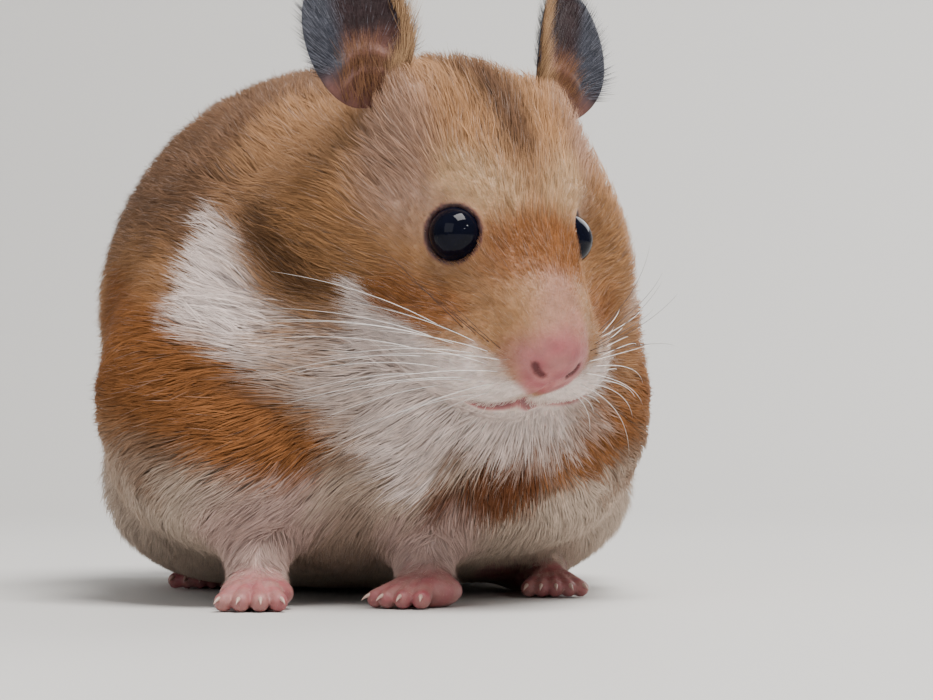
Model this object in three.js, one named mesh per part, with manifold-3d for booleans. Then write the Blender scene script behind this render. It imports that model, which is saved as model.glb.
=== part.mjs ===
// Syrian hamster (Mesocricetus auratus): an adult crouching on all fours, head turned to its left.
// Life size, in millimetres. +X is the animal's left, -Y its front, +Z up, and it stands on z = 0.
//
// A signed-distance field of a few soft-blended forms describes the animal out to the tips of its coat.
// Each piece is polygonised from that field, then thin plane cuts part it from its neighbours.
import * as THREE from 'three';
import { mergeVertices } from 'three/addons/utils/BufferGeometryUtils.js';
import Module from 'manifold-3d';

// ---------------------------------------------------------------- driving dimensions
const GAP = 0.3; // clear space between neighbouring pieces
const SHORTEST_EDGE = 0.05; // anything shorter that a cut leaves is closed up
const ORIGIN = [0.5, 0, 0]; // centre of the animal's footprint, moved to the origin at the end

const SPINE_X = 1.2; // the trunk's mirror plane
const HEAD_AT = [11.2, -39.2, 43.8]; // middle of the skull
const HEAD_YAW = 30; // degrees, turned to the animal's left
const HEAD_PITCH = 34; // degrees, nose down

const EYE_RADIUS = 3.1;
const EYE_AT = [7.3, -8.5, 2.7]; // left eye, in the head's frame
const ORBIT = { at: [12.5, -11.7, 4.6], radius: 5.6, blend: 2.5 }; // the dish that the eye looks out of

const EAR = { base: [12.0, 8.0, 9.2], height: 16.2, halfWidth: 6.2, thickness: 1.2 };
const EAR_UP = [0.3, 0.5, 0.83]; // from the left ear's root to its tip, in the head's frame
const EAR_FACING = [0.17, -0.9, 0.3]; // the way the left ear opens
const EAR_CENTRE = 0.5; // height of the widest place, as a share of the ear's height
const EAR_CUP = 0.055; // how strongly the sides curl forward
const EAR_LEAN = 1.6; // how far the tip falls back

const FOREFEET = { left: [6.4, -40.0], right: [-12.6, -44.0] }; // middle of each palm
const HINDFEET = { left: [22.8, -17.0], right: [-20.0, 6.0] }; // ball of each foot
const FOREFOOT_TURN = { left: -36, right: -6 }; // degrees, towards the animal's left
const FORE_TOE = { count: 4, fan: 19, from: 2.5, reach: 5.4, radii: [1.2, 1.05] };
const HIND_TOE = { count: 5, fan: 13, from: 1.6, reach: 5.6, radii: [1.15, 1.0] };
const HINDFOOT_LENGTH = 15; // ball to heel
const SOLE_SINK = 0.4; // how far the soles would pass through the floor: this makes their flats
const CLAW = { length: 1.5, radius: 0.36, sides: 5 };
const FOOT_TOP = 4.3; // height of the cut between foot and leg
const LEG_TOP = 13; // height of the cut between foreleg and trunk

// ---------------------------------------------------------------- the forms of the body
// 'pair' forms stand on both sides of the mirror plane. 'blend' is how softly a form joins those before.
const TRUNK_FORMS = [
  { name: 'barrel', at: [0, 3, 33.5], radii: [33.5, 43, 31.5] },
  { name: 'back', at: [-2, 14, 36.6], radii: [32.4, 34, 31.8], blend: 4 },
  { name: 'haunch', pair: true, at: [17.5, 20, 18], radii: [16.5, 23, 16.8], blend: 8 },
  { name: 'rump', at: [0, 27, 14], radii: [21, 18, 14 + SOLE_SINK], blend: 4 },
  { name: 'shoulder', pair: true, at: [16, -24, 23], radii: [17, 18, 17.5], blend: 8 },
  { name: 'chest', at: [-3.2, -29, 22.5], radii: [20, 13.2, 16.5], blend: 8 },
  { name: 'thigh', pair: true, at: [18.2, -4, 14.2], radii: [15, 18, 13], blend: 6 },
  { name: 'belly', at: [-1.2, -10, 14.4], radii: [23, 27, 13.2], blend: 6 },
  { name: 'left elbow', at: [6.7, -30.5, 16], radii: [10, 10, 9], blend: 5 },
  { name: 'right elbow', at: [-15.3, -34.5, 16], radii: [10, 10, 9], blend: 5 },
  { name: 'neck', from: [1.8, -12, 41], to: [12.4, -26, 39.5], radii: [22, 17.8], blend: 8 },
];
const TAIL_FORMS = [
  { name: 'tail', from: [SPINE_X, 44, 15], to: [SPINE_X, 54, 12], radii: [3, 1.5] },
];
const HEAD_FORMS = [
  { name: 'cranium', at: [0, 6, 1.6], radii: [13.6, 16, 14.8] },
  { name: 'cheek', pair: true, at: [9, 4.5, -5], radii: [10, 12, 10.5], blend: 6 },
  { name: 'bridge', from: [0, -4, 2], to: [0, -14, -3], radii: [9.6, 7.8], blend: 4 },
  { name: 'muzzle', from: [0, -5, -2], to: [0, -16.2, -5.8], radii: [8.2, 6.6], blend: 4 },
  { name: 'whisker pad', pair: true, at: [6.2, -15.6, -8.0], radii: [6.3, 6.2, 5.2], blend: 3 },
  { name: 'cheek pouch', pair: true, at: [6.5, -6, -8], radii: [7, 10, 6.5], blend: 5 },
  { name: 'nose', at: [0, -21.7, -4.4], radii: [3.1, 2.2, 2.6], blend: 4 },
  { name: 'chin', at: [0, -13.4, -12.6], radii: [6.8, 6.6, 3.7], blend: 2 },
  { name: 'ear tuft', pair: true, from: [9, 4.5, 9], to: [9.4, 6, 12], radii: [4.4, 3.4], blend: 5 },
];
// The head runs softly into the nape, but the jaw stands clear of the throat.
const THROAT = { height: 24, blend: 2.5 };
const NAPE = { height: 40, blend: 8 };

// ---------------------------------------------------------------- frames
const toRadians = THREE.MathUtils.degToRad;
const ALONG_WORLD = new THREE.Matrix4();

function headFrame() {
  const turn = new THREE.Euler(toRadians(HEAD_PITCH), 0, toRadians(HEAD_YAW), 'ZYX');
  const frame = new THREE.Matrix4().makeRotationFromEuler(turn);
  return frame.setPosition(...HEAD_AT);
}

// The ear's own frame: x across it, y from root to tip, z out of its opening.
function earFrame(side) {
  const up = new THREE.Vector3(side * EAR_UP[0], EAR_UP[1], EAR_UP[2]).normalize();
  const facing = new THREE.Vector3(side * EAR_FACING[0], EAR_FACING[1], EAR_FACING[2]);
  facing.addScaledVector(up, -facing.dot(up)).normalize();
  const across = new THREE.Vector3().crossVectors(up, facing);
  const frame = new THREE.Matrix4().makeBasis(across, up, facing);
  frame.setPosition(side * EAR.base[0], EAR.base[1], EAR.base[2]);
  return frame.premultiply(HEAD_FRAME);
}

const HEAD_FRAME = headFrame();
const TO_HEAD = HEAD_FRAME.clone().invert();

// ---------------------------------------------------------------- distance fields
function ellipsoidDistance(p, { at, radii }) {
  const q = [0, 1, 2].map((i) => (p[i] - at[i]) / radii[i]);
  const reach = Math.hypot(...q);
  const slope = Math.hypot(q[0] / radii[0], q[1] / radii[1], q[2] / radii[2]);
  return slope > 0 ? (reach * (reach - 1)) / slope : -Math.min(...radii);
}

function coneDistance(p, { from, to, radii }) {
  const axis = [0, 1, 2].map((i) => to[i] - from[i]);
  const arm = [0, 1, 2].map((i) => p[i] - from[i]);
  const along = (arm[0] * axis[0] + arm[1] * axis[1] + arm[2] * axis[2]) / Math.hypot(...axis) ** 2;
  const t = THREE.MathUtils.clamp(along, 0, 1);
  const away = Math.hypot(arm[0] - t * axis[0], arm[1] - t * axis[1], arm[2] - t * axis[2]);
  return away - THREE.MathUtils.lerp(radii[0], radii[1], t);
}

function softMin(a, b, blend = 0) {
  if (Math.abs(a - b) >= blend) return Math.min(a, b);
  const overlap = (blend - Math.abs(a - b)) / blend;
  return Math.min(a, b) - (overlap * overlap * blend) / 4;
}

function formsDistance(p, forms) {
  const mirrored = [Math.abs(p[0]), p[1], p[2]];
  return forms.reduce((distance, form) => {
    const q = form.pair ? mirrored : p;
    const own = form.to ? coneDistance(q, form) : ellipsoidDistance(q, form);
    return softMin(distance, own, form.blend);
  }, Infinity);
}

function toHead([x, y, z]) {
  return new THREE.Vector3(x, y, z).applyMatrix4(TO_HEAD).toArray();
}

function headBlend(height) {
  const share = (height - THROAT.height) / (NAPE.height - THROAT.height);
  return THREE.MathUtils.lerp(THROAT.blend, NAPE.blend, THREE.MathUtils.clamp(share, 0, 1));
}

// Trunk, neck and head, without legs, ears and eyes.
function bodyDistance(p) {
  const trunk = formsDistance([p[0] - SPINE_X, p[1], p[2]], TRUNK_FORMS);
  const inHead = toHead(p);
  const body = softMin(trunk, formsDistance(inHead, HEAD_FORMS), headBlend(p[2]));
  const [x, y, z] = ORBIT.at;
  const orbit = Math.hypot(Math.abs(inHead[0]) - x, inHead[1] - y, inHead[2] - z) - ORBIT.radius;
  return -softMin(-body, orbit, ORBIT.blend);
}

// The bare part of one foreleg: forearm and palm.
function forelegForms([x, y]) {
  return [
    { name: 'forearm', from: [x, y + 8, 9], to: [x, y + 2.5, 3], radii: [4.6, 3] },
    { name: 'palm', at: [x, y, 2.3 - SOLE_SINK], radii: [4.2, 3.6, 2.3], blend: 2 },
  ];
}

// The bare part of one hind leg: the long foot and the shank above its heel.
function hindlegForms([x, y], side) {
  const heel = [x - 1.5 * side, y + HINDFOOT_LENGTH, 2.4 - SOLE_SINK];
  const shank = { from: [x - 2 * side, y + 12, 5], to: [x - 4 * side, y + 8, 12], radii: [4, 7] };
  return [
    { name: 'foot', from: heel, to: [x, y, 2.3 - SOLE_SINK], radii: [2.4, 2.3] },
    { name: 'shank', ...shank, blend: 3 },
  ];
}

// ---------------------------------------------------------------- polygons from a field
const NUDGE = 0.05; // step of the numeric gradient

function gradient(field, p) {
  return [0, 1, 2].map((i) => {
    const ahead = [...p];
    const behind = [...p];
    ahead[i] += NUDGE;
    behind[i] -= NUDGE;
    return (field(ahead) - field(behind)) / (2 * NUDGE);
  });
}

// Moves a point onto the surface along the gradient, at most half a voxel.
function settle(field, p, voxel) {
  const slope = gradient(field, p);
  const steep = Math.max(slope[0] ** 2 + slope[1] ** 2 + slope[2] ** 2, 0.2);
  const step = THREE.MathUtils.clamp(field(p) / steep, -voxel / 2, voxel / 2);
  return p.map((place, i) => place - step * slope[i]);
}

const VOXEL_CORNERS = [0, 1, 2, 3, 4, 5, 6, 7].map((n) => [n & 1, (n >> 1) & 1, (n >> 2) & 1]);
const VOXEL_EDGES = [];
for (let a = 0; a < 8; a += 1) {
  for (const bit of [1, 2, 4]) {
    if (!(a & bit)) VOXEL_EDGES.push([a, a | bit]);
  }
}

// Surface net of field < 0 in a box: one vertex in each crossed voxel, one quad around each crossed edge.
function surfaceNet(field, { min, max }, voxel) {
  const count = [0, 1, 2].map((i) => Math.ceil((max[i] - min[i]) / voxel) + 1);
  const index = (i, j, k) => i + count[0] * (j + count[1] * k);
  const place = (i, j, k) => [min[0] + i * voxel, min[1] + j * voxel, min[2] + k * voxel];
  const onRim = (i, j, k) => [i, j, k].some((n, axis) => n === 0 || n === count[axis] - 1);

  const values = new Float32Array(count[0] * count[1] * count[2]);
  const vertexOf = new Int32Array(values.length).fill(-1);
  const positions = [];
  const triangles = [];

  const eachPoint = (first, visit) => {
    for (let k = first; k < count[2]; k += 1) {
      for (let j = first; j < count[1]; j += 1) {
        for (let i = first; i < count[0]; i += 1) visit(i, j, k);
      }
    }
  };
  eachPoint(0, (i, j, k) => {
    const value = field(place(i, j, k));
    values[index(i, j, k)] = onRim(i, j, k) ? Math.max(value, voxel / 2) : value;
  });

  eachPoint(1, (i, j, k) => {
    const corners = VOXEL_CORNERS.map(([a, b, c]) => [i - 1 + a, j - 1 + b, k - 1 + c]);
    const sum = [0, 0, 0];
    let crossings = 0;
    for (const [a, b] of VOXEL_EDGES) {
      const va = values[index(...corners[a])];
      const vb = values[index(...corners[b])];
      if (va < 0 === vb < 0) continue;
      const pa = place(...corners[a]);
      const pb = place(...corners[b]);
      const t = va / (va - vb);
      for (let n = 0; n < 3; n += 1) sum[n] += THREE.MathUtils.lerp(pa[n], pb[n], t);
      crossings += 1;
    }
    if (crossings === 0) return;
    const mean = sum.map((total) => total / crossings);
    const free = !corners.some((corner) => onRim(...corner));
    vertexOf[index(i, j, k)] = positions.length / 3;
    positions.push(...(free ? settle(field, mean, voxel) : mean));
  });

  const axes = [[1, 2], [2, 0], [0, 1]];
  eachPoint(0, (i, j, k) => {
    const here = [i, j, k];
    for (let axis = 0; axis < 3; axis += 1) {
      if (here[axis] === count[axis] - 1) continue;
      const next = [...here];
      next[axis] += 1;
      const inside = values[index(...here)] < 0;
      if (inside === values[index(...next)] < 0) continue;
      const [u, v] = axes[axis];
      const quad = [[0, 0], [1, 0], [1, 1], [0, 1]].map(([du, dv]) => {
        const cell = [i, j, k];
        cell[axis] += 1;
        cell[u] += du;
        cell[v] += dv;
        return vertexOf[index(...cell)];
      });
      if (!inside) quad.reverse();
      triangles.push(quad[0], quad[1], quad[2], quad[0], quad[2], quad[3]);
    }
  });

  const geometry = new THREE.BufferGeometry();
  geometry.setAttribute('position', new THREE.Float32BufferAttribute(positions, 3));
  geometry.setIndex(triangles);
  return geometry;
}

// ---------------------------------------------------------------- solids
const wasm = await Module();
wasm.setup();

function toSolid(geometry) {
  const bare = geometry.clone();
  bare.deleteAttribute('normal');
  bare.deleteAttribute('uv');
  const merged = mergeVertices(bare, 1e-4);
  return new wasm.Manifold(new wasm.Mesh({
    numProp: 3,
    vertProperties: new Float32Array(merged.attributes.position.array),
    triVerts: new Uint32Array(merged.index.array),
  }));
}

function toGeometry(solid) {
  const { vertProperties, triVerts } = solid.getMesh();
  const geometry = new THREE.BufferGeometry();
  geometry.setAttribute('position', new THREE.BufferAttribute(vertProperties, 3));
  geometry.setIndex(withoutShortEdges(vertProperties, [...triVerts]));
  geometry.computeVertexNormals();
  return geometry;
}

// Cuts leave a few edges too short to matter: each is closed up where its two ends share just two
// neighbours, which keeps the surface closed.
function withoutShortEdges(positions, triangles) {
  const corner = (v) => new THREE.Vector3().fromArray(positions, 3 * v);
  let kept = triangles;
  for (;;) {
    const neighbours = new Map();
    const link = (a, b) => neighbours.set(a, (neighbours.get(a) ?? new Set()).add(b));
    for (let i = 0; i < kept.length; i += 1) {
      const next = i % 3 === 2 ? i - 2 : i + 1;
      link(kept[i], kept[next]);
      link(kept[next], kept[i]);
    }
    const replaced = new Map();
    const busy = new Set();
    for (const [a, around] of neighbours) {
      for (const b of around) {
        if (busy.has(a) || busy.has(b) || corner(a).distanceTo(corner(b)) >= SHORTEST_EDGE) continue;
        const shared = [...around].filter((c) => neighbours.get(b).has(c));
        if (shared.length !== 2) continue;
        replaced.set(b, a);
        [a, b, ...around, ...neighbours.get(b)].forEach((v) => busy.add(v));
      }
    }
    if (replaced.size === 0) return kept;
    const moved = kept.map((v) => replaced.get(v) ?? v);
    kept = moved.filter((v, i) => {
      const first = i - (i % 3);
      const [a, b, c] = moved.slice(first, first + 3);
      return a !== b && b !== c && c !== a;
    });
  }
}

// A box between two corners of a frame, grown on all sides.
function boxSolid({ min, max, frame = ALONG_WORLD }, grow = 0) {
  const size = [0, 1, 2].map((i) => max[i] - min[i] + 2 * grow);
  const middle = [0, 1, 2].map((i) => (max[i] + min[i]) / 2);
  const geometry = new THREE.BoxGeometry(...size).translate(...middle).applyMatrix4(frame);
  return toSolid(geometry);
}

function joined(solids) {
  return solids.reduce((whole, solid) => whole.add(solid));
}

// Keeps what lies in the cells, and clears every neighbour's cells by the gap.
function parted(solid, cells, neighbours) {
  const own = cells.length > 0 ? solid.intersect(joined(cells.map((cell) => boxSolid(cell)))) : solid;
  return neighbours.flat().reduce((rest, cell) => rest.subtract(boxSolid(cell, GAP)), own);
}

// The limbs' own forms are polygonised apart from the body, more finely.
function limbSolid(forms, { min, max }) {
  const region = {
    min: min.map((value) => value - LIMB_MARGIN),
    max: max.map((value) => value + LIMB_MARGIN),
  };
  return toSolid(surfaceNet((p) => formsDistance(p, forms), region, LIMB_VOXEL));
}

// ---------------------------------------------------------------- cells: where each piece is cut
const FAR = 70; // beyond the animal on every side
const EVERYWHERE = { min: [-FAR, -FAR, 0], max: [FAR, FAR, 2 * FAR] };
const EAR_CUT = 3.4; // height of the cut above the ear's root
const NECK_BACK = 19.5; // the neck's rear cut, in the head's frame
const HEAD_BACK = 11;
const HEAD_FLOOR = -17.3;
const NOSE_FRONT = -20.9;
const MOUTH = -12.4;

const HEAD_CELL = {
  min: [-FAR, -FAR, HEAD_FLOOR],
  max: [FAR, HEAD_BACK, FAR],
  frame: HEAD_FRAME,
};
const NECK_CELL = {
  min: [-FAR, HEAD_BACK + GAP, HEAD_FLOOR],
  max: [FAR, NECK_BACK, FAR],
  frame: HEAD_FRAME,
};
const NOSE_CELL = { min: [-2.7, -FAR / 2, -7], max: [2.7, NOSE_FRONT, -1.6], frame: HEAD_FRAME };
const JAW_CELL = { min: [-7.5, -FAR / 2, HEAD_FLOOR], max: [7.5, -8, MOUTH], frame: HEAD_FRAME };
const TAIL_CELL = { min: [SPINE_X - 5, 45.5, 7], max: [SPINE_X + 5, FAR, 19] };

function earCell(side) {
  const half = EAR.halfWidth * 1.3;
  return { min: [-half, EAR_CUT, -half], max: [half, EAR.height * 2, half], frame: earFrame(side) };
}

function forefootCell([x, y]) {
  return { min: [x - 7, y - 10, 0], max: [x + 7, y + 9, FOOT_TOP] };
}

function forelegCell([x, y]) {
  return { min: [x - 8, y - 10, FOOT_TOP + GAP], max: [x + 8, y + 14, LEG_TOP] };
}

function hindfootCell([x, y]) {
  return { min: [x - 6.5, y - 10, 0], max: [x + 6.5, y + HINDFOOT_LENGTH + 2.6, FOOT_TOP] };
}

function hindlegCells([x, y], side) {
  const inner = SPINE_X + 21.5 * side;
  const outer = SPINE_X + FAR * side;
  const shankBack = y + HINDFOOT_LENGTH + 4;
  return [
    {
      min: [Math.min(inner, outer), -4, FOOT_TOP + GAP],
      max: [Math.max(inner, outer), 42, 34],
    },
    { min: [x - 8.5, y + 3, FOOT_TOP + GAP], max: [x + 8.5, shankBack, 12] },
  ];
}

// ---------------------------------------------------------------- materials
function material(color, roughness) {
  return new THREE.MeshStandardMaterial({ color, roughness, metalness: 0 });
}

const AGOUTI_FUR = material('#8c6236', 0.9);
const GOLDEN_FUR = material('#c0894f', 0.9);
const CREAM_FUR = material('#d8ccb8', 0.9);
const WHITE_FUR = material('#ece6dc', 0.9);
const EAR_SKIN = material('#6f6a70', 0.7);
const PINK_SKIN = material('#dba79f', 0.6);
const EYE_BLACK = material('#0b0b12', 0.08);

// ---------------------------------------------------------------- pieces
const hamster = new THREE.Group();
hamster.name = 'syrian_hamster';
hamster.position.set(-ORIGIN[0], -ORIGIN[1], -ORIGIN[2]);

function addPiece(name, solid, look) {
  const piece = new THREE.Mesh(toGeometry(solid), look);
  piece.name = name;
  hamster.add(piece);
}

const SIDES = { left: 1, right: -1 };
const SIDE_NAMES = Object.keys(SIDES);
const BODY_VOXEL = 6.2;
const HEAD_VOXEL = 3.25;
const LIMB_VOXEL = 2.1;
const LIMB_MARGIN = 4;
const BODY_REGION = { min: [-45, -60, -6], max: [47, 60, 78] };
const bodySolid = toSolid(surfaceNet(bodyDistance, BODY_REGION, BODY_VOXEL));

function trunk() {
  const legs = SIDE_NAMES.flatMap((name) => [
    forefootCell(FOREFEET[name]),
    forelegCell(FOREFEET[name]),
    hindfootCell(HINDFEET[name]),
    ...hindlegCells(HINDFEET[name], SIDES[name]),
  ]);
  return parted(bodySolid, [EVERYWHERE], [HEAD_CELL, NECK_CELL, TAIL_CELL, ...legs]);
}

// Head and neck are polygonised along the head's own axes, so that its two sides match.
function headNet() {
  const region = { min: [-36, -28, -24], max: [36, 24, 30] };
  const inHeadFrame = (p) => {
    return bodyDistance(new THREE.Vector3(...p).applyMatrix4(HEAD_FRAME).toArray());
  };
  return toSolid(surfaceNet(inHeadFrame, region, HEAD_VOXEL).applyMatrix4(HEAD_FRAME));
}

function eyeball(side, extra) {
  const geometry = new THREE.SphereGeometry(EYE_RADIUS + extra, 16, 10);
  geometry.translate(side * EYE_AT[0], EYE_AT[1], EYE_AT[2]).applyMatrix4(HEAD_FRAME);
  return toSolid(geometry);
}

// A flattened sphere bent into a cupped leaf.
function pinna(side) {
  const geometry = new THREE.SphereGeometry(1, 18, 8);
  const positions = geometry.attributes.position;
  for (let i = 0; i < positions.count; i += 1) {
    const across = positions.getX(i) * EAR.halfWidth;
    const up = EAR.height * (EAR_CENTRE + (1 - EAR_CENTRE) * positions.getZ(i));
    const skin = Math.sign(positions.getY(i)) * Math.abs(positions.getY(i)) ** 0.5;
    const share = up / EAR.height;
    const cup = EAR_CUP * across ** 2 * (1.25 - share);
    const lean = EAR_LEAN * THREE.MathUtils.clamp(share, 0, 1) ** 2;
    positions.setXYZ(i, across, up, cup - lean + (skin * EAR.thickness) / 2);
  }
  return toSolid(flipped(geometry).applyMatrix4(earFrame(side)));
}

// Swapping two axes turned the sphere inside out, so each triangle is turned back.
function flipped(geometry) {
  const index = geometry.index;
  for (let i = 0; i < index.count; i += 3) {
    const second = index.getX(i + 1);
    index.setX(i + 1, index.getX(i + 2));
    index.setX(i + 2, second);
  }
  return geometry;
}

// A round-ended toe with its claw beyond the tip.
function toe(from, to, radii) {
  const start = new THREE.Vector3(...from);
  const end = new THREE.Vector3(...to);
  const along = new THREE.Vector3().subVectors(end, start);
  const turn = new THREE.Quaternion().setFromUnitVectors(
    new THREE.Vector3(0, 1, 0),
    along.clone().normalize(),
  );
  const digit = new THREE.CapsuleGeometry(radii[1], along.length(), 2, 7, 1);
  digit.applyQuaternion(turn).translate(...start.clone().lerp(end, 0.5));
  const claw = new THREE.ConeGeometry(CLAW.radius, CLAW.length * 2, CLAW.sides);
  claw.applyQuaternion(turn);
  claw.translate(...end.clone().addScaledVector(along.normalize(), radii[1]));
  return toSolid(digit).add(toSolid(claw));
}

function toes([x, y], spec, spread, turn = 0) {
  const solids = [];
  for (let i = 0; i < spec.count; i += 1) {
    const angle = toRadians(turn + spec.fan * (i - (spec.count - 1) / 2));
    const [sin, cos] = [Math.sin(angle), Math.cos(angle)];
    const from = [x + (spec.from + spread) * sin, y - spec.from * cos, 2.1];
    const to = [x + (spec.reach + spread) * sin, y - spec.reach * cos, 1.1];
    solids.push(toe(from, to, spec.radii));
  }
  return joined(solids);
}

function foreleg(name) {
  const at = FOREFEET[name];
  const footCell = forefootCell(at);
  const legCell = forelegCell(at);
  const bare = limbSolid(forelegForms(at), { min: footCell.min, max: legCell.max });
  addPiece(`foreleg_${name}`, parted(bodySolid.add(bare), [legCell], [HEAD_CELL]), WHITE_FUR);
  const digits = toes(at, FORE_TOE, 0.9, FOREFOOT_TURN[name]);
  addPiece(`forefoot_${name}`, parted(bare.add(digits), [footCell], []), PINK_SKIN);
}

function hindleg(name) {
  const at = HINDFEET[name];
  const side = SIDES[name];
  const footCell = hindfootCell(at);
  const legCells = hindlegCells(at, side);
  const bare = limbSolid(hindlegForms(at, side), { min: footCell.min, max: legCells[1].max });
  const leg = parted(bodySolid.add(bare), legCells, [forelegCell(FOREFEET[name])]);
  addPiece(`hind_leg_${name}`, leg, CREAM_FUR);
  const footSolid = parted(bodySolid.add(bare).add(toes(at, HIND_TOE, 1.4)), [footCell], []);
  addPiece(`hind_foot_${name}`, footSolid, PINK_SKIN);
}

function head() {
  const flesh = headNet();
  const pinnae = SIDE_NAMES.map((name) => pinna(SIDES[name]));
  const whole = joined([flesh, ...pinnae]);
  const sockets = SIDE_NAMES.map((name) => eyeball(SIDES[name], GAP));
  const earCells = SIDE_NAMES.map((name) => earCell(SIDES[name]));
  const bare = sockets.reduce((rest, socket) => rest.subtract(socket), whole);
  addPiece('head', parted(bare, [HEAD_CELL], [...earCells, NOSE_CELL, JAW_CELL]), GOLDEN_FUR);
  addPiece('nose', parted(flesh, [NOSE_CELL], []), PINK_SKIN);
  addPiece('lower_jaw', parted(flesh, [JAW_CELL], []), WHITE_FUR);
  addPiece('neck', parted(flesh, [NECK_CELL], earCells), GOLDEN_FUR);
  for (const name of SIDE_NAMES) {
    addPiece(`ear_${name}`, parted(whole, [earCell(SIDES[name])], []), EAR_SKIN);
    addPiece(`eye_${name}`, eyeball(SIDES[name], 0), EYE_BLACK);
  }
}

function tail() {
  const { from, to } = TAIL_FORMS[0];
  const bare = limbSolid(TAIL_FORMS, { min: [from[0], from[1], to[2]], max: [to[0], to[1], from[2]] });
  return parted(bare.add(bodySolid), [TAIL_CELL], []);
}

addPiece('trunk', trunk(), AGOUTI_FUR);
head();
addPiece('tail', tail(), PINK_SKIN);
SIDE_NAMES.forEach(foreleg);
SIDE_NAMES.forEach(hindleg);

export default hamster;
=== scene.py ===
"""A Syrian hamster, life size, crouching on all fours with its head turned to its left.

Shapes are worked out in millimetres: +X is the animal's left, -Y its front, +Z up, z = 0 the
floor. The forms are those of the CAD model, whose surface is the outside of the coat. The skin
lies inside it by the coat's depth, and tufts of solid mesh grow from it and lie back along it.
"""
import math

import bpy
import numpy as np
from mathutils import Euler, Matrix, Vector, kdtree


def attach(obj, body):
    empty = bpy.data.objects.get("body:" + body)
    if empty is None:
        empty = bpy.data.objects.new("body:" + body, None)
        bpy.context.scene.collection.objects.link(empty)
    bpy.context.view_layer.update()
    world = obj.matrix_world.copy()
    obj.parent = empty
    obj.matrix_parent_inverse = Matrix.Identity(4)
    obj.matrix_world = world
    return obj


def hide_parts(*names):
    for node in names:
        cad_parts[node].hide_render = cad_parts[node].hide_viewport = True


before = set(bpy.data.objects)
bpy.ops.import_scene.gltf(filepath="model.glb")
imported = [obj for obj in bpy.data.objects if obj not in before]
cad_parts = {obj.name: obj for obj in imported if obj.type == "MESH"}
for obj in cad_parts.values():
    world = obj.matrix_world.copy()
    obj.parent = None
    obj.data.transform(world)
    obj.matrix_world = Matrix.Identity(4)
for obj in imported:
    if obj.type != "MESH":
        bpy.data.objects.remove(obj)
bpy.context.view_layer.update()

# ---- measures of the body, as in the CAD
MM = 0.001
F32 = np.float32
ORIGIN = np.array([0.5, 0.0, 0.0], F32)
SPINE_X = 1.2
HEAD_AT = np.array([11.2, -39.2, 43.8], F32)
HEAD_YAW = 30
HEAD_PITCH = 34
THROAT_HEIGHT, THROAT_BLEND = 24, 2.5
NAPE_HEIGHT, NAPE_BLEND = 40, 8
EYE_RADIUS = 3.1
EYE_AT = (7.3, -8.5, 2.7)
ORBIT_AT = (12.5, -11.7, 4.6)
ORBIT_RADIUS = 5.6
ORBIT_BLEND = 2.5
NOSE_TIP = (0, -23.2, -4.2)

EAR_BASE = (12.0, 8.0, 9.2)
EAR_UP = (0.3, 0.5, 0.83)
EAR_FACING = (0.17, -0.9, 0.3)
EAR_HEIGHT = 16.2
EAR_HALF_WIDTH = 6.2
EAR_CENTRE = 0.5
EAR_CUP = 0.055
EAR_LEAN = 1.6

LEFT = 1
RIGHT = -1
FOREFEET = {LEFT: (6.4, -40.0), RIGHT: (-12.6, -44.0)}
HINDFEET = {LEFT: (22.8, -17.0), RIGHT: (-20.0, 6.0)}
FOREFOOT_TURN = {LEFT: -36, RIGHT: -6}
FORE_TOES = dict(count=4, fan=19, start=2.5, reach=5.4, spread=0.9, radii=(1.2, 1.05))
HIND_TOES = dict(count=5, fan=13, start=1.6, reach=5.6, spread=1.4, radii=(1.15, 1.0))
SOLE_SINK = 0.4
FOOT_ZONE = 12  # no toe reaches further from the middle of its foot
FAR = 99

# A form is an ellipsoid ('at') or a tapering bar ('start' to 'end'). 'pair' stands on both sides.
TRUNK_FORMS = {
    "barrel": dict(at=(0, 3, 33.5), radii=(33.5, 43, 31.5)),
    "back": dict(at=(-2, 14, 36.6), radii=(32.4, 34, 31.8), blend=4),
    "haunch": dict(pair=True, at=(17.5, 20, 18), radii=(16.5, 23, 16.8), blend=8),
    "rump": dict(at=(0, 27, 14), radii=(21, 18, 14 + SOLE_SINK), blend=4),
    "shoulder": dict(pair=True, at=(16, -24, 23), radii=(17, 18, 17.5), blend=8),
    "chest": dict(at=(-3.2, -29, 22.5), radii=(20, 13.2, 16.5), blend=8),
    "thigh": dict(pair=True, at=(18.2, -4, 14.2), radii=(15, 18, 13), blend=6),
    "belly": dict(at=(-1.2, -10, 14.4), radii=(23, 27, 13.2), blend=6),
    "left elbow": dict(at=(6.7, -30.5, 16), radii=(10, 10, 9), blend=5),
    "right elbow": dict(at=(-15.3, -34.5, 16), radii=(10, 10, 9), blend=5),
    "neck": dict(start=(1.8, -12, 41), end=(12.4, -26, 39.5), radii=(22, 17.8), blend=8),
}
HEAD_FORMS = {
    "cranium": dict(at=(0, 6, 1.6), radii=(13.6, 16, 14.8)),
    "cheek": dict(pair=True, at=(9, 4.5, -5), radii=(10, 12, 10.5), blend=6),
    "bridge": dict(start=(0, -4, 2), end=(0, -14, -3), radii=(9.6, 7.8), blend=4),
    "muzzle": dict(start=(0, -5, -2), end=(0, -16.2, -5.8), radii=(8.2, 6.6), blend=4),
    "whisker pad": dict(pair=True, at=(6.2, -15.6, -8.0), radii=(6.3, 6.2, 5.2), blend=3),
    "cheek pouch": dict(pair=True, at=(6.5, -6, -8), radii=(7, 10, 6.5), blend=5),
    "nose": dict(at=(0, -21.7, -4.4), radii=(3.1, 2.2, 2.6), blend=4),
    "chin": dict(at=(0, -13.4, -12.6), radii=(6.8, 6.6, 3.7), blend=2),
    "ear tuft": dict(pair=True, start=(9, 4.5, 9), end=(9.4, 6, 12), radii=(4.4, 3.4), blend=5),
}
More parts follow.
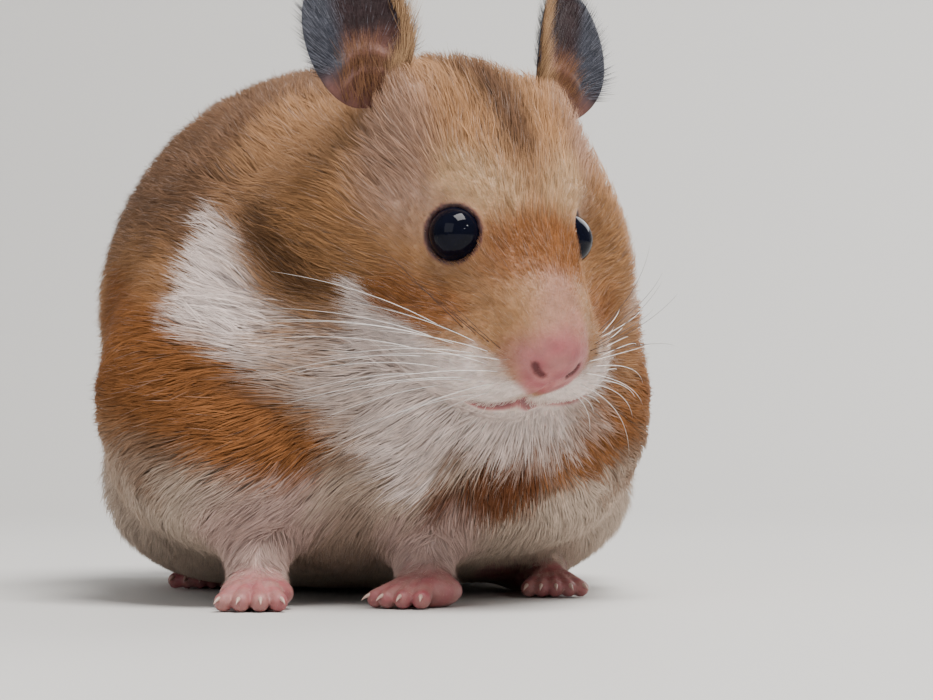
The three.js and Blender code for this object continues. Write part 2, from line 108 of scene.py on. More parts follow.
TAIL_FORM = dict(start=(SPINE_X, 44, 15), end=(SPINE_X, 54, 12), radii=(3, 1.5))


def vec(values):
    return np.asarray(values, F32)


def rotation(yaw, pitch):
    turn = Euler((math.radians(pitch), 0, 0)).to_matrix()
    turn.rotate(Euler((0, 0, math.radians(yaw))))
    return np.array(turn, F32)


HEAD_TURN = rotation(HEAD_YAW, HEAD_PITCH)


def to_head(p):
    return (p - HEAD_AT) @ HEAD_TURN


def from_head(q):
    return vec(q) @ HEAD_TURN.T + HEAD_AT


def mirrored(q):
    return q * np.where(q[:, :1] < 0, vec([-1, 1, 1]), vec([1, 1, 1]))


def dot(a, b):
    return np.einsum("ij,ij->i", a, b)


def length(v):
    return np.sqrt(dot(v, v))


def unit(v):
    return v / np.maximum(length(v), 1e-9)[:, None]


def normed(v):
    """One vector, or rows of them, at length 1."""
    return v / np.linalg.norm(v, axis=-1, keepdims=True)


def mix(a, b, share):
    """Each row of a moved towards b by its own share."""
    return a + (b - a) * share[:, None]


def smooth(start, end, x):
    t = np.clip((x - start) / (end - start), 0, 1)
    return t * t * (3 - 2 * t)


# ---- distance fields
def ellipsoid(p, at, radii):
    radii = vec(radii)
    q = (p - vec(at)) / radii
    reach = length(q)
    return reach * (reach - 1) / np.maximum(length(q / radii), 1e-6)


def along(p, start, end):
    """How far along a line each point lies, from 0 to 1, and its distance from the line."""
    start = vec(start)
    axis = vec(end) - start
    t = np.clip((p - start) @ axis / (axis @ axis), 0, 1)
    return t, length(p - start - t[:, None] * axis)


def bar(p, start, end, radii):
    t, away = along(p, start, end)
    return away - (radii[0] + (radii[1] - radii[0]) * t)


def ball(p, at, radius):
    return length(p - vec(at)) - radius


def soft_min(a, b, blend):
    overlap = np.maximum(blend - np.abs(a - b), 0) / blend
    return np.minimum(a, b) - overlap * overlap * (blend / 4)


def soft_carve(a, b, blend):
    return -soft_min(-a, b, blend)


def forms_distance(p, forms):
    both = mirrored(p)
    distance = None
    for form in forms.values():
        q = both if form.get("pair") else p
        if "at" in form:
            own = ellipsoid(q, form["at"], form["radii"])
        else:
            own = bar(q, form["start"], form["end"], form["radii"])
        distance = own if distance is None else soft_min(distance, own, form["blend"])
    return distance


def body(p, q):
    """Trunk, neck and head, out to the tips of the coat."""
    trunk = forms_distance(p - vec([SPINE_X, 0, 0]), TRUNK_FORMS)
    rise = np.clip((p[:, 2] - THROAT_HEIGHT) / (NAPE_HEIGHT - THROAT_HEIGHT), 0, 1)
    blend = THROAT_BLEND + (NAPE_BLEND - THROAT_BLEND) * rise
    whole = soft_min(trunk, forms_distance(q, HEAD_FORMS), blend)
    return soft_carve(whole, ball(mirrored(q), ORBIT_AT, ORBIT_RADIUS), ORBIT_BLEND)


def foot_toes(foot, kind, turn):
    """Start and end of each toe's bar, from the little toe to the big one."""
    x, y = foot
    near, far = kind["start"], kind["reach"]
    for i in range(kind["count"]):
        angle = math.radians(turn + kind["fan"] * (i - (kind["count"] - 1) / 2))
        start = (x + (near + kind["spread"]) * math.sin(angle), y - near * math.cos(angle), 2.1)
        end = (x + (far + kind["spread"]) * math.sin(angle), y - far * math.cos(angle), 1.1)
        yield start, end


FEET = [(FOREFEET[side], FORE_TOES, FOREFOOT_TURN[side]) for side in (LEFT, RIGHT)]
FEET += [(HINDFEET[side], HIND_TOES, 0) for side in (LEFT, RIGHT)]


def limbs(p):
    """Forearms, shanks and feet, without toes."""
    distance = np.full(len(p), FAR, F32)
    for x, y in FOREFEET.values():
        forearm = bar(p, (x, y + 8, 9), (x, y + 2.5, 3), (4.6, 3))
        palm = ellipsoid(p, (x, y, 2.3 - SOLE_SINK), (4.2, 3.6, 2.3))
        distance = np.minimum(distance, soft_min(forearm, palm, 2))
    for side, (x, y) in HINDFEET.items():
        foot = bar(p, (x - 1.5 * side, y + 15, 2.0), (x, y, 1.9), (2.4, 2.3))
        shank = bar(p, (x - 2 * side, y + 12, 5), (x - 4 * side, y + 8, 12), (4, 7))
        distance = np.minimum(distance, soft_min(foot, shank, 3))
    return distance


def toes_distance(p):
    distance = np.full(len(p), FAR, F32)
    for foot, kind, turn in FEET:
        near = np.flatnonzero(length(p[:, :2] - vec(foot)) < FOOT_ZONE)
        if len(near):
            toes = foot_toes(foot, kind, turn)
            own = [bar(p[near], start, end, kind["radii"]) for start, end in toes]
            distance[near] = np.minimum.reduce([distance[near], *own])
    return distance


COAT_DEPTH = 1.7


def coat_depth(p, q):
    """How far the skin lies under the coat's surface: less near nose, eyes and floor."""
    from_nose = ball(q, NOSE_TIP, 0)
    from_eye = ball(mirrored(q), EYE_AT, EYE_RADIUS)
    depth = np.full(len(p), COAT_DEPTH, F32)
    depth = np.minimum(depth, np.maximum(0.05 * from_nose - 0.15, 0.08))
    depth = np.minimum(depth, np.maximum(0.16 * from_eye, 0.06))
    return np.minimum(depth, np.maximum(0.11 * p[:, 2] - 0.1, 0.05))


def flesh(p):
    """The skin before its folds, without limbs."""
    q = to_head(p)
    return body(p, q) + coat_depth(p, q)


MOUTH_KNOTS = [(0, -20.6, -11.6), (1.6, -20.1, -12.4), (3.9, -18.9, -13.4), (6.6, -18.0, -13.2),
               (8.8, -17.0, -12.4), (10.2, -15.6, -11.6)]
NOSTRIL_KNOTS = [(1.6, -23.8, -5.5), (2.3, -23.8, -5.2), (2.7, -23.4, -4.5)]
CLEFT_KNOTS = [(0, -23.4, -6.6), (0, -22.0, -9.4), (0, -20.6, -11.6)]
EYE_AXIS = normed(vec([0.80, -0.55, 0.22]))
LID_THICKNESS = 0.30
LID_EDGE = 0.6
FACE_AT, FACE_RADIUS = (0, -16, -4), 16  # holds every fold
NOSE_PAD_AT = (0, -22.8, -5.2)


def chain(q, points, radius):
    return np.minimum.reduce([along(q, a, b)[1] for a, b in zip(points, points[1:])]) - radius


def lid(m):
    """Skin that wraps the eyeball from behind, up to the edge of the lids."""
    out = (m - vec(EYE_AT)) @ EYE_AXIS
    return np.maximum(ball(m, EYE_AT, EYE_RADIUS + LID_THICKNESS), out - LID_EDGE)


def face_folds(distance, q):
    """Lids, nostrils, the cleft under the nose and the line of the mouth."""
    near = np.flatnonzero(ball(q, FACE_AT, FACE_RADIUS) < 0)
    if not len(near):
        return distance
    m = mirrored(q[near])
    own = distance[near]
    own = soft_min(own, lid(m), 0.8)
    for line, radius, blend in ((MOUTH, 0.28, 0.7), (CLEFT, 0.22, 0.7), (NOSTRIL, 0.26, 0.35)):
        own = soft_carve(own, chain(m, line, radius), blend)
    own = np.maximum(own, -ball(m, EYE_AT, EYE_RADIUS - 0.08))
    result = distance.copy()
    result[near] = own
    return result


def skin(p):
    """The animal's skin: bare on nose and feet, elsewhere under the coat."""
    q = to_head(p)
    depth = coat_depth(p, q)
    distance = body(p, q) + depth
    distance = soft_min(distance, limbs(p) + depth, 2.5)
    tail = bar(p, TAIL_FORM["start"], TAIL_FORM["end"], TAIL_FORM["radii"])
    distance = soft_min(distance, tail + 0.3, 2)
    distance = soft_min(distance, toes_distance(p), 0.5)
    distance = face_folds(distance, q)
    return np.maximum(distance, 0.02 - p[:, 2])


def in_chunks(work, *arrays, size=200000):
    """Does the work on one slice of the arrays after another, which takes less memory."""
    starts = range(0, len(arrays[0]), size)
    return np.concatenate([work(*(array[i:i + size] for array in arrays)) for i in starts])


def gradient(field, p, step=0.06):
    slopes = []
    for axis in range(3):
        nudge = np.zeros(3, F32)
        nudge[axis] = step
        slopes.append((field(p + nudge) - field(p - nudge)) / (2 * step))
    return np.stack(slopes, 1)


def settle(field, p, level, most, rounds=1):
    """Moves points along the gradient to where the field has the level."""
    for _ in range(rounds):
        slope = gradient(field, p)
        steep = np.maximum(dot(slope, slope), 0.2)
        step = np.clip((field(p) - level) / steep, -most, most)
        p = p - step[:, None] * slope
    return p


def on_flesh(knots, steps=5):
    """A line through the knots, in the head's frame, laid on the flesh."""
    stops = np.arange(len(knots))
    places = np.linspace(0, len(knots) - 1, steps * (len(knots) - 1) + 1)
    path = np.stack([np.interp(places, stops, [knot[n] for knot in knots]) for n in range(3)], 1)
    return to_head(settle(flesh, from_head(path), 0, 1.5, rounds=8))


MOUTH = on_flesh(MOUTH_KNOTS)
NOSTRIL = on_flesh(NOSTRIL_KNOTS)
CLEFT = on_flesh(CLEFT_KNOTS)


# ---- surface net on an uneven grid
def axis_marks(stops):
    """Grid planes along one axis: stops are (place, spacing after it), the last only a place."""
    marks = [stops[0][0]]
    for (start, spacing), (end, _) in zip(stops, stops[1:]):
        count = max(1, round((end - start) / spacing))
        marks.extend(start + (end - start) * (n + 1) / count for n in range(count))
    return np.array(marks, F32)


def split(quads):
    """Two triangles of each quad."""
    return np.concatenate([quads[:, [0, 1, 2]], quads[:, [0, 2, 3]]])


def grid_points(axes):
    return np.stack(np.meshgrid(*axes, indexing="ij"), -1).reshape(-1, 3)


def banded_values(field, axes, block=6):
    """The field at the grid's points, worked out in full only near the surface."""
    middles, halves = [], []
    for marks in axes:
        starts = np.arange(0, len(marks), block)
        ends = np.minimum(starts + block, len(marks) - 1)
        middles.append((marks[starts] + marks[ends]) / 2)
        halves.append((marks[ends] - marks[starts]) / 2)
    coarse = in_chunks(field, grid_points(middles))
    near = np.abs(coarse) < 1.4 * length(grid_points(halves)) + 0.8
    shape = [len(m) for m in middles]
    spread = np.ix_(*[np.arange(len(marks)) // block for marks in axes])
    values = coarse.reshape(shape)[spread].ravel()
    wanted = near.reshape(shape)[spread].ravel()
    values[wanted] = in_chunks(field, grid_points(axes)[wanted])
    return values.reshape([len(marks) for marks in axes])


def surface_net(field, axes):
    """Vertices and quads of the surface field = 0."""
    values = banded_values(field, axes)
    inside = values < 0
    corners = [(n & 1, n >> 1 & 1, n >> 2 & 1) for n in range(8)]
    shape = [n - 1 for n in inside.shape]
    count = np.zeros(shape, np.int8)
    for a, b, c in corners:
        count += inside[a:a + shape[0], b:b + shape[1], c:c + shape[2]]
    cells = np.argwhere((count > 0) & (count < 8))
    number = np.full(shape, -1, np.int32)
    number[tuple(cells.T)] = np.arange(len(cells))

    total = np.zeros((len(cells), 3), F32)
    crossings = np.zeros(len(cells), F32)
    for corner in corners:
        for bit in range(3):
            if corner[bit]:
                continue
            a = cells + corner
            b = a.copy()
            b[:, bit] += 1
            va, vb = values[tuple(a.T)], values[tuple(b.T)]
            cross = (va < 0) != (vb < 0)
            t = np.where(cross, va / np.where(cross, va - vb, 1), 0)[:, None]
            pa = np.stack([axes[n][a[:, n]] for n in range(3)], 1)
            pb = np.stack([axes[n][b[:, n]] for n in range(3)], 1)
            total += np.where(cross[:, None], pa + (pb - pa) * t, 0)
            crossings += cross
    points = total / crossings[:, None]

    quads = []
    for axis in range(3):
        u, v = (axis + 1) % 3, (axis + 2) % 3
        low, high = [slice(None)] * 3, [slice(None)] * 3
        low[axis], high[axis] = slice(0, -1), slice(1, None)
        edges = np.argwhere(inside[tuple(low)] != inside[tuple(high)])
        edges = edges[(edges[:, u] > 0) & (edges[:, v] > 0)]
        edges = edges[(edges[:, u] < shape[u]) & (edges[:, v] < shape[v])]
        ring = []
        for du, dv in ((-1, -1), (0, -1), (0, 0), (-1, 0)):
            cell = edges.copy()
            cell[:, u] += du
            cell[:, v] += dv
            ring.append(number[tuple(cell.T)])
        ring = np.stack(ring, 1)
        outward = inside[tuple(edges.T)]
        quads.append(np.where(outward[:, None], ring, ring[:, ::-1]))
    return points, np.concatenate(quads)


# ---- colours
def srgb(code):
    """A colour as written in hexadecimal, in the renderer's linear light."""
    parts = np.array([int(code[n:n + 2], 16) / 255 for n in (0, 2, 4)])
    return np.where(parts <= 0.04045, parts / 12.92, ((parts + 0.055) / 1.055) ** 2.4).astype(F32)


AGOUTI = srgb("83624a")
TAN = srgb("a97f5b")
GOLDEN = srgb("a2764f")
ORANGE = srgb("905d36")
RUST = srgb("6a4028")
DARK_BROWN = srgb("4a3122")
WHITE = srgb("ecd9d0")
CREAM = srgb("c3ae9c")
PINK_WHITE = srgb("c4a69b")
LIGHT_TAN = srgb("b8936e")
PAW_PINK = srgb("a0706b")
GREY_TAN = srgb("aa8670")
GREY_BROWN = srgb("756355")
# painted shade under the belly, between the forelegs
BELLY_SHADE = srgb("8c7262")
MUZZLE_PINK = srgb("ab7e69")
SKIN_PINK = srgb("b0706c")
DEEP_PINK = srgb("93434c")
NEAR_BLACK = srgb("1a1210")
# Painted shade in the nostrils and along the line of the mouth, in dark reds:
NOSTRIL_SHADE = srgb("5a1f22")
MOUTH_SHADE = srgb("6e4244")
SLATE = srgb("30323c")
PALE_SLATE = srgb("9a9ca8")
EAR_BROWN = srgb("66423a")
EAR_MAROON = srgb("2c1b1d")
EAR_FOLD_PINK = srgb("875d50")
EAR_TUFT_BROWN = srgb("8a6247")
CLAW = srgb("bfa294")
WHISKER_WHITE = srgb("efe9e4")
WHISKER_DARK = srgb("3d2a22")

# A marking is an ellipsoid, or a chain of balls given as (x, y, z, radius), in the frame of the
# body or the head. It is laid over those before it. 'pair' marks both sides.
EDGE = 0.35  # softness of a marking's outline that has no other
BODY_MARKS = {
    "flank": dict(at=(SPINE_X, 5, 30), radii=(60, 80, 14), colour=GOLDEN),
    "underside": dict(at=(SPINE_X, 0, 2), radii=(60, 80, 17), edge=0.3, colour=CREAM),
    "nape": dict(at=(-7, -31, 53), radii=(11.5, 13, 12), colour=TAN),
    "nape edge": dict(chain=[(-13, -18, 58, 2.5), (-17, -24, 52, 2.6), (-15, -31, 46.5, 2.4)],
        edge=0.7, colour=DARK_BROWN, strength=0.15),
    "right shoulder": dict(edge=0.3, colour=ORANGE,
        chain=[(-31, -6, 33, 7), (-28.5, -28, 29, 7), (-23, -39.5, 25, 6.4), (-16.8, -43.5, 21, 6),
               (-10, -44.5, 16.5, 4.6)]),
    "left shoulder": dict(edge=0.3, colour=ORANGE,
        chain=[(33, -18, 34, 6.5), (32, -31, 27, 5.6), (29, -36, 21, 5), (22, -40, 16.5, 4.6),
               (15, -39, 11.8, 3.6)]),
    "breast band": dict(chain=[(18, -39, 12, 3), (7.5, -39.6, 10.3, 2.8)], edge=0.55,
        colour=RUST),
    "right crescent": dict(edge=0.3, colour=WHITE,
        chain=[(-19.6, -27.6, 45.5, 1.8), (-18.7, -32, 40.5, 4.3), (-17.8, -37, 35.2, 5.6),
               (-12.4, -42, 31, 5.2), (-5, -44, 27.5, 5.6)]),
    "left crescent": dict(chain=[(33, -18, 46, 4), (31, -30, 38, 4), (28, -39, 33, 3)],
        edge=0.3, colour=WHITE),
    "breast": dict(chain=[(0, -44.5, 24, 6), (3.4, -43.5, 18, 5.2), (3.6, -42, 13, 2.8)],
        edge=0.4, colour=WHITE),
    # The ruff's grey-brown is partly its grizzled fur and partly painted shade under the chin.
    "ruff": dict(chain=[(-13, -43.5, 26, 3), (-5, -44, 24, 3.4), (3, -43.5, 23, 2.6)],
        edge=0.9, colour=GREY_BROWN, strength=0.5),
    "grizzled breast": dict(edge=0.8, colour=GREY_BROWN, strength=0.5,
        chain=[(9, -42.5, 19.5, 3.2), (17, -41.8, 18.5, 3.4), (22, -40, 19, 2)]),
    # Painted shade: the belly between the forelegs is darkened to a grey-brown.
    "shade between the legs": dict(at=(-3, -34, 6), radii=(8.5, 9, 6.5), edge=0.5, colour=BELLY_SHADE,
        strength=0.7),
    "right forearm": dict(chain=[(-12.6, -38, 10, 6.5), (-12.6, -44, 2, 6)],
        colour=PINK_WHITE),
    "left forearm": dict(chain=[(7.4, -34, 7, 5.5), (6.4, -40, 2, 6)], colour=PINK_WHITE),
}
HEAD_MARKS = {
    "head": dict(at=(0, 0, 0), radii=(26, 27, 24), edge=0.2, colour=TAN),
    "cheek": dict(pair=True, chain=[(19.5, 7, -5, 7), (16.5, -3, -3, 6.5), (12.5, -10, -3, 6)],
        edge=0.5, colour=GOLDEN),
    "temple": dict(pair=True, chain=[(12.5, 4, 10, 5), (13, -2, 6, 5.2)], edge=0.6,
        colour=GREY_TAN),
    "brow": dict(pair=True, chain=[(7.6, -4.9, 9.9, 3.6), (4.2, -9, 9, 3.4)], edge=0.6,
        colour=LIGHT_TAN),
    "left cheek": dict(at=(16.5, -6, 2), radii=(6, 9, 9), edge=0.5, colour=GOLDEN),
    "crown": dict(pair=True, at=(5.5, 0, 13.8), radii=(4, 5, 3), edge=0.6, colour=GOLDEN,
        strength=0.6),
    "crown streak": dict(pair=True, edge=0.9, colour=DARK_BROWN, strength=0.85,
        chain=[(0, 13, 16.5, 4), (0, 1, 15.5, 2.8), (0.6, -4.5, 12.6, 1.4)]),
    "bridge": dict(at=(0, -14.4, 5), radii=(10, 4.4, 5), edge=0.4, colour=ORANGE),
    "beside the nose": dict(pair=True, at=(6.6, -19.6, -2.2), radii=(3.6, 3.8, 3.6), edge=0.6,
        colour=GOLDEN),
    "under the eye": dict(pair=True, chain=[(13.4, -8.5, -5.6, 3.6), (10.8, -14, -4, 3)], edge=0.5,
        colour=ORANGE),
    "muzzle top": dict(chain=[(0, -19.8, 2.6, 2.6), (0, -22, 0, 3.4)], edge=0.7,
        colour=MUZZLE_PINK),
    "nose": dict(at=(0, -23.2, -4.6), radii=(4.8, 4, 4.6), edge=0.4, colour=SKIN_PINK),
    "under the nose": dict(at=(0, -23.2, -7.6), radii=(2.6, 2.4, 1.8), edge=0.6, colour=DEEP_PINK,
        strength=0.7),
    "dark cheek": dict(pair=True, edge=0.8, colour=DARK_BROWN, strength=0.65,
        chain=[(18.8, 15, -8.8, 1.8), (20, 8, -9, 2.4), (19, 1.5, -9.5, 2.3),
               (17.8, -1.5, -9.4, 1.6)]),
    "white cheek": dict(pair=True, chain=[(16.4, -3.9, -6.8, 1.4), (15.2, -5.6, -10, 2.8)],
        colour=WHITE),
    "jaw": dict(at=(0, -9, -16), radii=(15, 16, 7), colour=WHITE),
    "lips": dict(pair=True, colour=WHITE,
        chain=[(14.5, -7, -12.4, 3.6), (12.6, -13, -10.4, 3.7), (9.2, -19, -8.6, 3.3),
               (4, -21.5, -9.6, 2.8)]),
}


def wobble(p, size, seed, waves=7):
    """Smooth noise between about -1 and 1, with features of the given size."""
    chance = np.random.default_rng(seed)
    total = np.zeros(len(p), F32)
    for _ in range(waves):
        heading = unit(chance.normal(size=(1, 3)))[0]
        wave = heading * chance.uniform(0.7, 1.6) * 2 * math.pi / size
        total += np.sin(p @ wave.astype(F32) + F32(chance.uniform(0, 2 * math.pi)))
    return total / math.sqrt(waves)


def mark_reach(p, mark):
    """0 in the middle of a marking, 1 on its outline."""
    if "at" in mark:
        return length((p - vec(mark["at"])) / vec(mark["radii"]))
    reach = np.full(len(p), FAR, F32)
    for (*start, first), (*end, last) in zip(mark["chain"], mark["chain"][1:]):
        t, away = along(p, start, end)
        reach = np.minimum(reach, away / (first + (last - first) * t))
    return reach


def paint(colour, p, marks, ruffle):
    both = mirrored(p)
    for mark in marks.values():
        reach = mark_reach(both if mark.get("pair") else p, mark)
        edge = mark.get("edge", EDGE)
        share = 1 - smooth(1 - edge, 1 + edge, reach + ruffle)
        colour = mix(colour, mark["colour"], share * mark.get("strength", 1))
    return colour


def coat_colour(p):
    """The markings of the coat, which the skin under it shares."""
    ruffle = 0.10 * wobble(p, 9, 1) + 0.07 * wobble(p, 3.5, 2)
    colour = np.repeat(AGOUTI[None], len(p), 0)
    colour = paint(colour, p, BODY_MARKS, ruffle)
    return paint(colour, to_head(p), HEAD_MARKS, ruffle)


def bareness(p):
    """1 where the skin is bare: nose, lips, lids, feet and tail. Then 1 on the lids alone."""
    q = mirrored(to_head(p))
    nose = 1 - smooth(2.8, 4.8, ball(q, NOSE_PAD_AT, 0))
    lips = 1 - smooth(0.5, 1.1, chain(q, MOUTH, 0))
    lids = 1 - smooth(0.35, 0.7, ball(q, EYE_AT, EYE_RADIUS))
    on_foot = np.zeros(len(p), F32)
    for foot, _, _ in FEET:
        on_foot = np.maximum(on_foot, 1 - smooth(8, 11, length(p[:, :2] - vec(foot))))
    feet = (1 - smooth(3.0, 6.0, p[:, 2])) * on_foot
    from_tail = bar(p, TAIL_FORM["start"], TAIL_FORM["end"], (0, 0))
    tail = smooth(45, 50, p[:, 1]) * (1 - smooth(3.5, 5, from_tail))
    return np.maximum.reduce([nose, lips, lids, feet, tail]), lids


def skin_colour(p):
    """The coat's markings, pink where the skin is bare and darker on the lids, with painted shade:
    a little darker under the coat, and darker in the folds.
    """
    # Painted shade: the skin under the coat is a little darker than the coat's markings.
    colour = coat_colour(p) * F32(0.92)
    bare, lids = bareness(p)
    pink = mix(SKIN_PINK, PAW_PINK, smooth(20, 14, p[:, 2]))
    pink = mix(pink, DEEP_PINK, np.clip(0.3 + 0.3 * wobble(p, 2.5, 3), 0, 1))
    colour = mix(colour, pink, bare)
    q = mirrored(to_head(p))
    # Painted shade: the nostrils and the line of the mouth are darkened to dark red, as shade in
    # these creases.
    for line, dark in ((NOSTRIL, NOSTRIL_SHADE), (MOUTH, MOUTH_SHADE)):
        colour = mix(colour, dark, 1 - smooth(0.25, 0.65, chain(q, line, 0)))
    return mix(colour, NEAR_BLACK, lids * 0.9)


# ---- meshes in Blender
def add_object(name, data):
    new = bpy.data.objects.new(name, data)
    bpy.context.scene.collection.objects.link(new)
    return new


def new_mesh(name, points, faces, material):
    """A smooth-shaded object of triangles or quads, from points in millimetres."""
    mesh = bpy.data.meshes.new(name)
    mesh.vertices.add(len(points))
    mesh.vertices.foreach_set("co", ((points - ORIGIN) * MM).astype(F32).ravel())
    mesh.loops.add(faces.size)
    mesh.loops.foreach_set("vertex_index", faces.astype(np.int32).ravel())
    mesh.polygons.add(len(faces))
    starts = np.arange(0, faces.size, faces.shape[1], dtype=np.int32)
    mesh.polygons.foreach_set("loop_start", starts)
    mesh.update(calc_edges=True)
    mesh.validate()
    mesh.shade_smooth()
    mesh.materials.append(material)
    piece = add_object(name, mesh)
    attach(piece, "root")
    return piece


def set_colours(piece, colours):
    layer = piece.data.attributes.new("Coat", "FLOAT_COLOR", "POINT")
    rgba = np.ones((len(colours), 4), F32)
    rgba[:, :3] = np.clip(colours, 0, 1)
    layer.data.foreach_set("color", rgba.ravel())


# ---- materials
def set_sockets(node, values):
    for socket, value in values.items():
        node.inputs[socket.replace("_", " ")].default_value = value


def new_material(name, **values):
    material = bpy.data.materials.new(name)
    material.use_nodes = True
    shader = material.node_tree.nodes["Principled BSDF"]
    set_sockets(shader, values)
    return material, material.node_tree, shader


def add_node(tree, kind, **values):
    node = tree.nodes.new(kind)
    set_sockets(node, values)
    return node


def textured(name, grain, contrast, bump, bump_size, **values):
    """A material that takes its colour from the mesh, and fine variation and relief from noise."""
    material, tree, shader = new_material(name, **values)
    link = tree.links.new
    place = add_node(tree, "ShaderNodeTexCoord")
    colour = add_node(tree, "ShaderNodeAttribute")
    colour.attribute_name = "Coat"
    noise = add_node(tree, "ShaderNodeTexNoise", Scale=grain, Detail=4)
    spread = add_node(tree, "ShaderNodeMapRange", From_Min=0.25, From_Max=0.75,
                      To_Min=1 - contrast, To_Max=1 + contrast)
    shade = add_node(tree, "ShaderNodeMix")
    shade.data_type = "RGBA"
    shade.blend_type = "MULTIPLY"
    shade.inputs["Factor"].default_value = 1
    relief = add_node(tree, "ShaderNodeTexNoise", Scale=bump_size, Detail=3)
    bumps = add_node(tree, "ShaderNodeBump", Strength=bump, Distance=0.0002)
    link(place.outputs["Object"], noise.inputs["Vector"])
    link(noise.outputs["Fac"], spread.inputs["Value"])
    link(colour.outputs["Color"], shade.inputs["A"])
    link(spread.outputs["Result"], shade.inputs["B"])
    link(shade.outputs["Result"], shader.inputs["Base Color"])
    link(place.outputs["Object"], relief.inputs["Vector"])
    link(relief.outputs["Fac"], bumps.inputs["Height"])
    link(bumps.outputs["Normal"], shader.inputs["Normal"])
    return material


FUR = textured("fur", grain=900, contrast=0.15, bump=0.15, bump_size=5000,
               Roughness=0.7, Specular_IOR_Level=0.12)
SKIN = textured("skin", grain=700, contrast=0.15, bump=0.5, bump_size=2600,
                Roughness=0.5, Specular_IOR_Level=0.4,
                Subsurface_Weight=0.15, Subsurface_Scale=0.0006)
EAR_SKIN = textured("ear_skin", grain=1200, contrast=0.2, bump=0.4, bump_size=3200,
                    Roughness=0.55, Specular_IOR_Level=0.35,
                    Sheen_Weight=0.2, Sheen_Roughness=0.4)
CLAW_HORN = textured("claw_horn", grain=2500, contrast=0.2, bump=0.2, bump_size=4000,
                     Roughness=0.35, Specular_IOR_Level=0.5)
HAIR = textured("whisker", grain=1500, contrast=0.2, bump=0.1, bump_size=3000,
                Roughness=0.4, Specular_IOR_Level=0.5)


def eye_material():
    """Almost black and wet, tinted a faint blue as a painted reflection."""
    material, tree, shader = new_material("eye", Roughness=0.02, Specular_IOR_Level=0.12)
    place = add_node(tree, "ShaderNodeTexCoord")
    noise = add_node(tree, "ShaderNodeTexNoise", Scale=600)
    tree.links.new(place.outputs["Object"], noise.inputs["Vector"])
    ramp = add_node(tree, "ShaderNodeValToRGB")
    # Painted reflection: the near-black colour is tinted a faint blue.
    ramp.color_ramp.elements[0].color = (0.0016, 0.0018, 0.004, 1)
    ramp.color_ramp.elements[1].color = (0.004, 0.005, 0.014, 1)
    tree.links.new(noise.outputs["Fac"], ramp.inputs["Fac"])
    tree.links.new(ramp.outputs["Color"], shader.inputs["Base Color"])
    return material


# ---- the skin
SIDES = {"left": LEFT, "right": RIGHT}
PAIRED_FLESH = ("ear", "foreleg", "forefoot", "hind_leg", "hind_foot")
FLESH = ["trunk", "neck", "head", "nose", "lower_jaw", "tail"]
FLESH += [f"{part}_{name}" for part in PAIRED_FLESH for name in SIDES]


def on_side(side, values):
    return np.array([side * values[0], values[1], values[2]])


def ear_frame(side):
    """Rows: across the ear, up it, and out of its opening."""
    up = normed(on_side(side, EAR_UP))
    facing = on_side(side, EAR_FACING)
    facing = normed(facing - up * (facing @ up))
    across = np.cross(up, facing)
    return np.stack([across, up, facing]).astype(F32)


def ear_middle(u, v):
    """Height of the ear's middle surface over its frame's plane."""
    s = v / EAR_HEIGHT
    return EAR_CUP * u * u * (1.25 - s) - EAR_LEAN * np.clip(s, 0, 1) ** 2


def ear_point(side, u, v, w):
    base = on_side(side, EAR_BASE).astype(F32)
    return from_head(np.stack([u, v, w], 1).astype(F32) @ ear_frame(side) + base)


def ear_outline(r, angle):
    """Places across and up the ear: r is 0 in its middle and 1 on its rim."""
    across = EAR_HALF_WIDTH * r * np.sin(angle)
    return across, EAR_HEIGHT * (EAR_CENTRE + (1 - EAR_CENTRE) * r * np.cos(angle))


EAR_ROUND = 96
EAR_RINGS = 40
EAR_HALF_THICKNESS = 0.4
EAR_FOLDS = [(6.2, 0.55, 0.85), (4.2, 0.4, 0.6)]  # height in the opening, rise, width


def ear_folds(u, v):
    """Arched folds at the bottom of the ear's opening."""
    rise = np.zeros_like(u)
    for height, out, width in EAR_FOLDS:
        arch = height - 0.14 * u * u
        rise += out * np.exp(-((v - arch) / width) ** 2) * smooth(4.2, 2.4, np.abs(u))
    return rise


def ear_colour(side, u, v, r, face):
    """Slate on back, rim and outer side, dark in the hollow, brown and pink lower down."""
    if face < 0:
        return np.repeat(SLATE[None], len(u), 0)
    lateral = side * u / EAR_HALF_WIDTH
    hollow = mix(EAR_BROWN, EAR_MAROON, smooth(6, 9.5, v))
    hollow = mix(hollow, EAR_FOLD_PINK, np.clip(ear_folds(u, v), 0, 0.6))
    band = np.maximum(smooth(0.1, 0.45, lateral), smooth(0.84, 0.94, r)) * smooth(2.5, 6, v)
    return mix(hollow, SLATE, band)


def ear_face(side, face):
    """Points and colours of the ear's front (face 1) or back (face -1), its middle last."""
    rings = np.sin(np.linspace(0, math.pi / 2, EAR_RINGS + 1))[1:]
    angles = np.arange(EAR_ROUND) * 2 * math.pi / EAR_ROUND
    r, angle = (grid.ravel() for grid in np.meshgrid(rings, angles, indexing="ij"))
    if face < 0:
        inside = r < 1
        r, angle = r[inside], angle[inside]
    u, v = ear_outline(r, angle)
    u, v, r = np.append(u, 0), np.append(v, EAR_HEIGHT * EAR_CENTRE), np.append(r, 0)
    w = ear_middle(u, v) + face * EAR_HALF_THICKNESS * np.sqrt(np.maximum(1 - r ** 6, 0))
    if face > 0:
        w = w + ear_folds(u, v)
    points = ear_point(side, u, v, w)
    shade = 1 + 0.12 * wobble(points, 2.2, 5)
    return points, np.clip(ear_colour(side, u, v, r, face) * shade[:, None], 0, 1)


